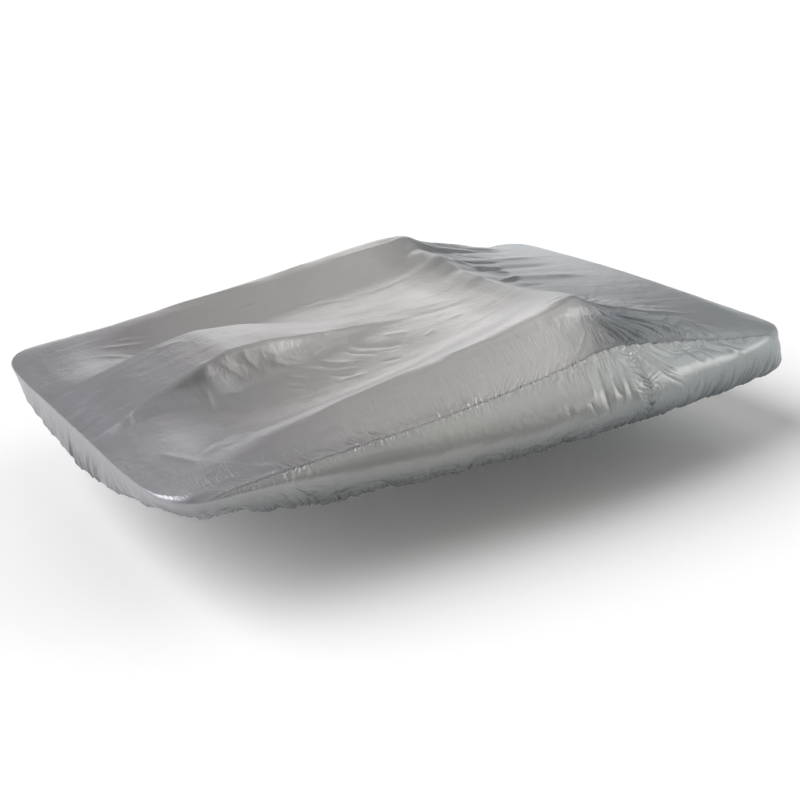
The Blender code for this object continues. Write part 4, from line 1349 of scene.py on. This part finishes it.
# Painted light and shade of the cloths, and painted colour casts of reflections, as factors on
# their colour: the top by the distance along the cloth from its middle row, the sides by x from
# the bow.
TOP_PAINTED_LIGHT = table(
    "at red green blue",
    (-1.36, 0.74, 0.74, 0.78),
    (-1.20, 0.89, 0.88, 0.94),
    (-0.90, 0.86, 0.84, 0.87),
    (-0.60, 1.12, 1.09, 1.08),
    (0.16, 1.40, 1.37, 1.35),
    (0.36, 0.88, 0.88, 0.87),
    (0.50, 0.50, 0.54, 0.57),
    (0.95, 0.88, 0.93, 0.96),
    (1.32, 0.88, 0.98, 1.01),
)
SIDE_PAINTED_LIGHT = table(
    "at red green blue",
    (0.10, 0.82, 0.83, 0.84),
    (0.50, 0.83, 0.84, 0.82),
    (0.90, 1.02, 1.01, 0.97),
    (1.45, 1.12, 1.13, 1.10),
    (1.75, 1.14, 1.18, 1.17),
    (2.40, 0.82, 0.90, 0.92),
)
# Painted shade of the sides: how much darker they are towards the hem, and a little lighter near
# the seam.
SIDE_PAINTED_SHADE_DOWN = table(
    "at red green blue",
    (-0.34, 0.62, 0.65, 0.66),
    (-0.25, 0.74, 0.765, 0.78),
    (-0.15, 0.90, 0.91, 0.915),
    (-0.04, 1.12, 1.12, 1.12),
    (0.00, 1.12, 1.12, 1.12),
)
# Painted shade of the skirts: how much darker they are towards the hem, by height in the frame of
# the CAD.
SIDE_PAINTED_SHADE_BY_HEIGHT = table(
    "at red green blue",
    (-0.320, 0.40, 0.43, 0.44),
    (-0.270, 0.52, 0.55, 0.56),
    (-0.225, 0.80, 0.81, 0.815),
    (-0.180, 1.00, 1.00, 1.00),
)
# Painted shade of the top cloth's skirts, darker towards their hems.
TOP_PAINTED_SHADE_BY_HEIGHT = table(
    "at red green blue",
    (-0.320, 0.60, 0.60, 0.61),
    (-0.240, 0.86, 0.86, 0.87),
    (-0.190, 1.00, 1.00, 1.00),
)
CLOTH_COLOUR = (0.355, 0.355, 0.355)
CLOTH_METALLIC = 0.50
CLOTH_SPECULAR = 0.5
CLOTH_SHEEN = 0.15
CLOTH_SHEEN_ROUGHNESS = 0.4
# Each look carries painted light and shade as factors on the cloth's colour, by place on the cloth
# and by height.
TOP_LOOK = dict(roughness=0.335, painted_light_and_shade=((1, TOP_PAINTED_LIGHT),), heights=TOP_PAINTED_SHADE_BY_HEIGHT, streaks=0.30)
SIDE_LOOK = dict(
    roughness=0.34, painted_light_and_shade=((0, SIDE_PAINTED_LIGHT), (1, SIDE_PAINTED_SHADE_DOWN)), heights=SIDE_PAINTED_SHADE_BY_HEIGHT, streaks=0.0,
)
RAMP_FROM = 0.30
RAMP_TO = 0.70
# Sewing thread, darker than the cloth: partly the thread's own colour, partly painted shade of the
# groove of the seam.
THREAD_COLOUR_AND_GROOVE_SHADE = (0.16, 0.16, 0.16)
THREAD_ROUGHNESS = 0.7
TINT_SPREAD = 0.05
ROUGHNESS_SPREAD = 0.10
THREADS_PER_METRE = 900.0
THREAD_DISTORTION = 0.5
GRAIN_SCALE = 260.0
GRAIN_SHARE = 1.6
WEAVE_HEIGHT = 0.00005
CRUMPLE_HEIGHT = 0.0022
STREAK_HEIGHT = 0.0018
SEAM_FOLD_HEIGHT = 0.0042
# Where the small folds fade in: on the top by the distance from the middle line, on the sides by
# the distance down from the seam.
TOP_FOLDS_FROM = 0.50
TOP_FOLDS_FULL = 0.70
SEAM_FOLDS_FROM = -0.060
HEM_FOLDS_FROM = -0.13
HEM_FOLDS_FULL = -0.25
# How often uneven things change in a metre, across and along the cloth.
TINT_STREAKS = (60.0, 6.0)
TOP_STREAKS = (75.0, 7.0)
TOP_FOLDS = (14.0, 120.0)
SIDE_FOLDS = (120.0, 22.0)
PATCHES = 3.5
PATCH_SHARE = 0.65
CRUMPLES_PER_METRE = 26.0
WEAR_SCALE = 11.0
THREAD_SCALE = 600.0
THREAD_FUZZ_SCALE = 1500.0
THREAD_FUZZ_HEIGHT = 0.00006


class NodeBoard:
    """Short forms for the nodes that the materials share."""

    def __init__(self, name):
        self.material = bpy.data.materials.new(name)
        self.material.use_nodes = True
        self.nodes = self.material.node_tree.nodes
        self.links = self.material.node_tree.links
        self.shader = self.nodes["Principled BSDF"]
        self.place = self.nodes.new("ShaderNodeUVMap")
        self.place.uv_map = "cloth"

    def stretched(self, scale):
        node = self.nodes.new("ShaderNodeMapping")
        node.inputs["Scale"].default_value = (*scale, 1.0)
        self.links.new(self.place.outputs["UV"], node.inputs["Vector"])
        return node.outputs["Vector"]

    def noise(self, scale, detail=3.0, vector=None):
        node = self.nodes.new("ShaderNodeTexNoise")
        node.inputs["Scale"].default_value = scale
        node.inputs["Detail"].default_value = detail
        self.links.new(vector or self.place.outputs["UV"], node.inputs["Vector"])
        return node.outputs["Fac"]

    def threads(self, direction):
        node = self.nodes.new("ShaderNodeTexWave")
        node.wave_type = "BANDS"
        node.bands_direction = direction
        node.inputs["Scale"].default_value = THREADS_PER_METRE / (2.0 * math.pi)
        node.inputs["Distortion"].default_value = THREAD_DISTORTION
        self.links.new(self.place.outputs["UV"], node.inputs["Vector"])
        return node.outputs["Fac"]

    def maths(self, operation, *values):
        node = self.nodes.new("ShaderNodeMath")
        node.operation = operation
        for socket, value in zip(node.inputs, values):
            if isinstance(value, float):
                socket.default_value = value
            else:
                self.links.new(value, socket)
        return node.outputs[0]

    def ridged(self, field):
        """Sharp lines where a noise field crosses its middle."""
        return self.maths("ABSOLUTE", self.maths("SUBTRACT", field, 0.5))

    def part(self, axis):
        """One of the cloth coordinates: 0 across, 1 along or down."""
        node = self.nodes.new("ShaderNodeSeparateXYZ")
        self.links.new(self.place.outputs["UV"], node.inputs["Vector"])
        return node.outputs[axis]

    def height(self):
        """Height in the frame of the CAD."""
        place = self.nodes.new("ShaderNodeTexCoord")
        node = self.nodes.new("ShaderNodeSeparateXYZ")
        self.links.new(place.outputs["Object"], node.inputs["Vector"])
        return node.outputs["Z"]

    def between(self, value, low, high):
        """0 under low, 1 over high."""
        node = self.nodes.new("ShaderNodeMapRange")
        node.interpolation_type = "SMOOTHSTEP"
        node.inputs["From Min"].default_value = low
        node.inputs["From Max"].default_value = high
        self.links.new(value, node.inputs["Value"])
        return node.outputs["Result"]

    def stops(self, value, rows):
        """Colour by the table's "at", straight between its rows."""
        first, last = rows[0]["at"], rows[-1]["at"]
        scaled = self.maths("MULTIPLY_ADD", value, 1.0 / (last - first), -first / (last - first))
        node = self.nodes.new("ShaderNodeValToRGB")
        ends = node.color_ramp.elements
        while len(ends) < len(rows):
            ends.new(0.5)
        for element, row in zip(ends, rows):
            element.position = (row["at"] - first) / (last - first)
        for element, row in zip(ends, rows):
            element.color = (row["red"] / 2.0, row["green"] / 2.0, row["blue"] / 2.0, 1.0)
        self.links.new(scaled, node.inputs["Fac"])
        return self.times(node.outputs["Color"], (2.0, 2.0, 2.0, 1.0))

    def times(self, one, other):
        node = self.nodes.new("ShaderNodeMix")
        node.data_type = "RGBA"
        node.blend_type = "MULTIPLY"
        node.inputs["Factor"].default_value = 1.0
        for socket, value in zip((node.inputs[6], node.inputs[7]), (one, other)):
            if isinstance(value, tuple):
                socket.default_value = value
            else:
                self.links.new(value, socket)
        return node.outputs[2]

    def bumped(self, layers):
        """Bump of several layers of (height field, height in metres) on the shader."""
        normal = None
        for field, height in layers:
            node = self.nodes.new("ShaderNodeBump")
            node.inputs["Strength"].default_value = 1.0
            node.inputs["Distance"].default_value = height
            self.links.new(field, node.inputs["Height"])
            if normal is not None:
                self.links.new(normal, node.inputs["Normal"])
            normal = node.outputs["Normal"]
        self.links.new(normal, self.shader.inputs["Normal"])

    def ramp(self, value, low, high):
        """One colour blended into another over the middle of a noise field."""
        node = self.nodes.new("ShaderNodeValToRGB")
        ends = node.color_ramp.elements
        ends[0].position, ends[1].position = RAMP_FROM, RAMP_TO
        ends[0].color, ends[1].color = (*low, 1.0), (*high, 1.0)
        self.links.new(value, node.inputs["Fac"])
        return node.outputs["Color"]


def shaded(colour, factor):
    return [channel * factor for channel in colour]


def small_folds(board, look):
    """Fine folds that run across the seams and the hem, and fine streaks along the top."""
    across, along = board.part(0), board.part(1)
    if look["streaks"] > 0.0:
        seam_side = board.between(board.maths("ABSOLUTE", across), TOP_FOLDS_FROM, TOP_FOLDS_FULL)
        folds = board.noise(1.0, 3.0, board.stretched(TOP_FOLDS))
    else:
        top = board.between(along, SEAM_FOLDS_FROM, 0.0)
        hem = board.between(along, HEM_FOLDS_FROM, HEM_FOLDS_FULL)
        seam_side = board.maths("MAXIMUM", top, hem)
        folds = board.noise(1.0, 3.0, board.stretched(SIDE_FOLDS))
    layers = [(board.maths("MULTIPLY", board.ridged(folds), seam_side), SEAM_FOLD_HEIGHT)]
    if look["streaks"] > 0.0:
        drawn = board.noise(1.0, 4.0, board.stretched(TOP_STREAKS))
        layers.append((drawn, look["streaks"] * STREAK_HEIGHT))
    return layers


def cloth_look(name, look):
    """Thin shiny coated cloth: uneven tint, painted light and shade, satin gloss, small folds, fine
    weave and grain.
    """
    board = NodeBoard(name)
    shader = board.shader
    patches = board.maths("MULTIPLY", board.noise(PATCHES, 4.0), PATCH_SHARE)
    streaks = board.noise(1.0, 3.0, board.stretched(TINT_STREAKS))
    blend = board.maths("ADD", patches, board.maths("MULTIPLY", streaks, 1.0 - PATCH_SHARE))
    low, high = shaded(CLOTH_COLOUR, 1.0 - TINT_SPREAD), shaded(CLOTH_COLOUR, 1.0 + TINT_SPREAD)
    tint = board.ramp(blend, low, high)
    # Painted light and shade by place on the cloth.
    for axis, rows in look["painted_light_and_shade"]:
        tint = board.times(tint, board.stops(board.part(axis), rows))
    # Painted shade, darker towards the hem.
    tint = board.times(tint, board.stops(board.height(), look["heights"]))
    board.links.new(tint, shader.inputs["Base Color"])
    least = look["roughness"] - ROUGHNESS_SPREAD / 2
    wear = board.maths("MULTIPLY_ADD", board.noise(WEAR_SCALE, 5.0), ROUGHNESS_SPREAD, least)
    board.links.new(wear, shader.inputs["Roughness"])
    weave = board.maths("ADD", board.threads("X"), board.threads("Y"))
    grain = board.maths("MULTIPLY", board.noise(GRAIN_SCALE, 2.0), GRAIN_SHARE)
    crumpled = board.ridged(board.noise(CRUMPLES_PER_METRE, 2.0))
    layers = [(board.maths("ADD", weave, grain), WEAVE_HEIGHT), (crumpled, CRUMPLE_HEIGHT)]
    board.bumped(layers + small_folds(board, look))
    shader.inputs["Metallic"].default_value = CLOTH_METALLIC
    shader.inputs["Specular IOR Level"].default_value = CLOTH_SPECULAR
    shader.inputs["Sheen Weight"].default_value = CLOTH_SHEEN
    shader.inputs["Sheen Roughness"].default_value = CLOTH_SHEEN_ROUGHNESS
    return board.material


def thread_look(name):
    """Twisted sewing thread; its dark colour is partly painted shade of the seam groove."""
    board = NodeBoard(name)
    worn = board.noise(THREAD_SCALE, 2.0)
    tint = board.ramp(worn, shaded(THREAD_COLOUR_AND_GROOVE_SHADE, 0.8), shaded(THREAD_COLOUR_AND_GROOVE_SHADE, 1.3))
    board.links.new(tint, board.shader.inputs["Base Color"])
    board.bumped([(board.noise(THREAD_FUZZ_SCALE, 2.0), THREAD_FUZZ_HEIGHT)])
    board.shader.inputs["Roughness"].default_value = THREAD_ROUGHNESS
    return board.material


# --- assembly -----------------------------------------------------------------------------------

# Where each of the three pieces of the top cloth ends, by x from the bow, and the two sides.
TOP_PIECE_ENDS = table(
    "name to",
    ("top_cloth_fore", 0.80),
    ("top_cloth_middle", 1.60),
    ("top_cloth_aft", LENGTH),
)
SIDES = table(
    "way name",
    (-1.0, "starboard"),
    (1.0, "port"),
)


def finish_piece(piece, node, look):
    """Looks and part of a cloth piece."""
    piece.data.materials.append(look)
    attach(piece, "root")
    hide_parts(node)


def build_top():
    """The top cloth in three pieces; gives back the lines of its stitches."""
    points, normals, cloth, share = top_sheet()
    index = numbers_of(points)
    rim = SKIRT_ROWS + HEM_ROLL_ROWS
    rows = positions(TOP_ROWS)
    seams = []
    above_seam = (1.0 - np.abs(share)) * SEAM_BOW_Y
    offset = int(np.argmin(np.abs(above_seam - STITCH_ABOVE_SEAM)))
    for column_number in (offset, len(share) - 1 - offset):
        seams.append((points[rim:-rim, column_number], normals[rim:-rim, column_number]))
    look = cloth_look("top_cloth_look", TOP_LOOK)
    start = 0
    for part in TOP_PIECE_ENDS:
        end = 2 * (int(np.searchsorted(rows, part["to"])) // 2)
        faces = [top_faces(index[rim + start: rim + end + 1], share)]
        if start == 0:
            faces.append(grid_faces(index[: rim + 1]))
        if end == len(rows) - 1:
            faces.append(grid_faces(index[rim + end:]))
        piece = mesh_piece(part["name"], points, np.concatenate(faces), normals, cloth)
        finish_piece(piece, "top_panel", look)
        start = end
    return seams


def build_side(side, seam):
    """The two pieces of one side and the stitches of its seams."""
    way, side_name = side["way"], side["name"]
    points, normals, cloth, fore = side_sheet(way)
    index = numbers_of(points)
    stitched = slice(1, SIDE_ROWS - CROSS_STITCHES_END)
    beside = fore - CROSS_STITCHES_BESIDE
    cross = (points[stitched, beside], normals[stitched, beside])
    stitches = stitch_piece("stitches_" + side_name, [seam, cross])
    stitches.data.materials.append(thread_look("thread_" + side_name))
    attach(stitches, "root")
    for where, part in (("fore", index[:, : fore + 1]), ("aft", index[:, fore:])):
        name = "side_cloth_" + side_name + "_" + where
        piece = mesh_piece(name, points, grid_faces(part), normals, cloth)
        node = "side_panel_" + side_name + "_" + where
        look = cloth_look(name + "_look", SIDE_LOOK)
        finish_piece(piece, node, look)


def build_cover():
    seams = build_top()
    for side, seam in zip(SIDES, seams):
        build_side(side, seam)


# --- stage --------------------------------------------------------------------------------------

FLOOR_BELOW_RIM = 0.400
FLOOR_HALF_SIZE = 400.0
FLOOR_COLOUR = (0.97, 0.97, 0.97, 1.0)
FLOOR_ROUGHNESS = 0.9
WORLD_COLOUR = (0.96, 0.98, 1.0, 1.0)
WORLD_STRENGTH = 0.03
SOURCE_DISTANCE = 6.0
CAMERA_LENS = 51.32
CAMERA_SENSOR = 36.0
CAMERA_SEES = 200.0
CAMERA_PLACE = (-2.594, -3.164, 1.2145)
CAMERA_TURN = 54.91
CAMERA_DOWN = 22.71

# Wide soft sources, by the direction they stand in: azimuth from the stern (+X) towards port (+Y).
SOFT_SOURCES = table(
    "name azimuth elevation width strength colour",
    ("bow_softbox", 157.0, 39.0, 60.0, 3.7, (1.0, 0.99, 1.0)),
    ("port_low_softbox", 60.0, 11.0, 40.0, 0.38, (0.97, 0.98, 1.0)),
    ("port_softbox", 60.0, 37.0, 40.0, 0.26, (1.0, 0.98, 0.96)),
    ("stern_softbox", 0.0, 36.0, 40.0, 0.36, (0.94, 0.99, 1.0)),
    ("starboard_softbox", 332.0, 20.0, 34.0, 0.78, (1.0, 0.99, 0.96)),
    ("starboard_fill", 275.0, 25.0, 60.0, 0.16, (1.0, 0.99, 0.96)),
    ("top_softbox", 340.0, 66.0, 54.0, 0.34, (1.0, 0.99, 0.97)),
)


def build_floor():
    size, level = FLOOR_HALF_SIZE, -SEAT_BACK_ABOVE_RIM - FLOOR_BELOW_RIM
    plan = [(-size, -size), (size, -size), (size, size), (-size, size)]
    corners = [(x, y, level) for x, y in plan]
    mesh = bpy.data.meshes.new("floor")
    mesh.from_pydata(corners, [], [(0, 1, 2, 3)])
    paint = bpy.data.materials.new("floor_paint")
    paint.use_nodes = True
    shader = paint.node_tree.nodes["Principled BSDF"]
    shader.inputs["Base Color"].default_value = FLOOR_COLOUR
    shader.inputs["Roughness"].default_value = FLOOR_ROUGHNESS
    mesh.materials.append(paint)
    floor = add_object("floor", mesh)


def build_world():
    """A backdrop that is pale to the camera and lights the cover only faintly."""
    world = bpy.data.worlds.new("studio")
    bpy.context.scene.world = world
    world.use_nodes = True
    nodes, links = world.node_tree.nodes, world.node_tree.links
    light = nodes["Background"]
    light.inputs["Color"].default_value = WORLD_COLOUR
    light.inputs["Strength"].default_value = WORLD_STRENGTH
    backdrop = nodes.new("ShaderNodeBackground")
    backdrop.inputs["Color"].default_value = WORLD_COLOUR
    seen = nodes.new("ShaderNodeLightPath")
    chosen = nodes.new("ShaderNodeMixShader")
    links.new(seen.outputs["Is Camera Ray"], chosen.inputs[0])
    links.new(light.outputs[0], chosen.inputs[1])
    links.new(backdrop.outputs[0], chosen.inputs[2])
    links.new(chosen.outputs[0], nodes["World Output"].inputs["Surface"])


def pointing(turn, rise):
    """Unit direction from an azimuth and a rise in degrees."""
    turn, rise = math.radians(turn), math.radians(rise)
    flat = math.cos(rise)
    return Vector((flat * math.cos(turn), flat * math.sin(turn), math.sin(rise)))


def build_lights():
    for source in SOFT_SOURCES:
        data = bpy.data.lights.new(source["name"], "SUN")
        data.energy = source["strength"]
        data.color = source["colour"]
        data.angle = math.radians(source["width"])
        stands = pointing(source["azimuth"], source["elevation"])
        light = add_object(source["name"], data)
        light.rotation_euler = (-stands).to_track_quat("-Z", "Y").to_euler()
        light.location = SOURCE_DISTANCE * stands


def build_camera():
    forward = pointing(CAMERA_TURN, -CAMERA_DOWN)
    up = pointing(CAMERA_TURN, 90.0 - CAMERA_DOWN)
    data = bpy.data.cameras.new("camera")
    data.lens = CAMERA_LENS
    data.sensor_width = CAMERA_SENSOR
    data.clip_end = CAMERA_SEES
    camera = add_object("camera", data)
    place = Matrix((forward.cross(up), up, -forward)).transposed().to_4x4()
    place.translation = Vector(CAMERA_PLACE)
    camera.matrix_world = place
    bpy.context.scene.camera = camera


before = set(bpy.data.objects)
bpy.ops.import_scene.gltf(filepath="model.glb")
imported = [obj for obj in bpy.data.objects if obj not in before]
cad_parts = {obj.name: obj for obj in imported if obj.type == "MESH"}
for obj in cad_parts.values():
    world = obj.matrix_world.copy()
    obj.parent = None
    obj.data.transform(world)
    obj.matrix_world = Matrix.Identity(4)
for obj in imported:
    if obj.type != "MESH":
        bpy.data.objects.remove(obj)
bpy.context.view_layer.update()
build_floor()
build_world()
build_lights()
build_camera()
bpy.context.scene.view_settings.view_transform = "Standard"
build_cover()
bpy.context.view_layer.update()
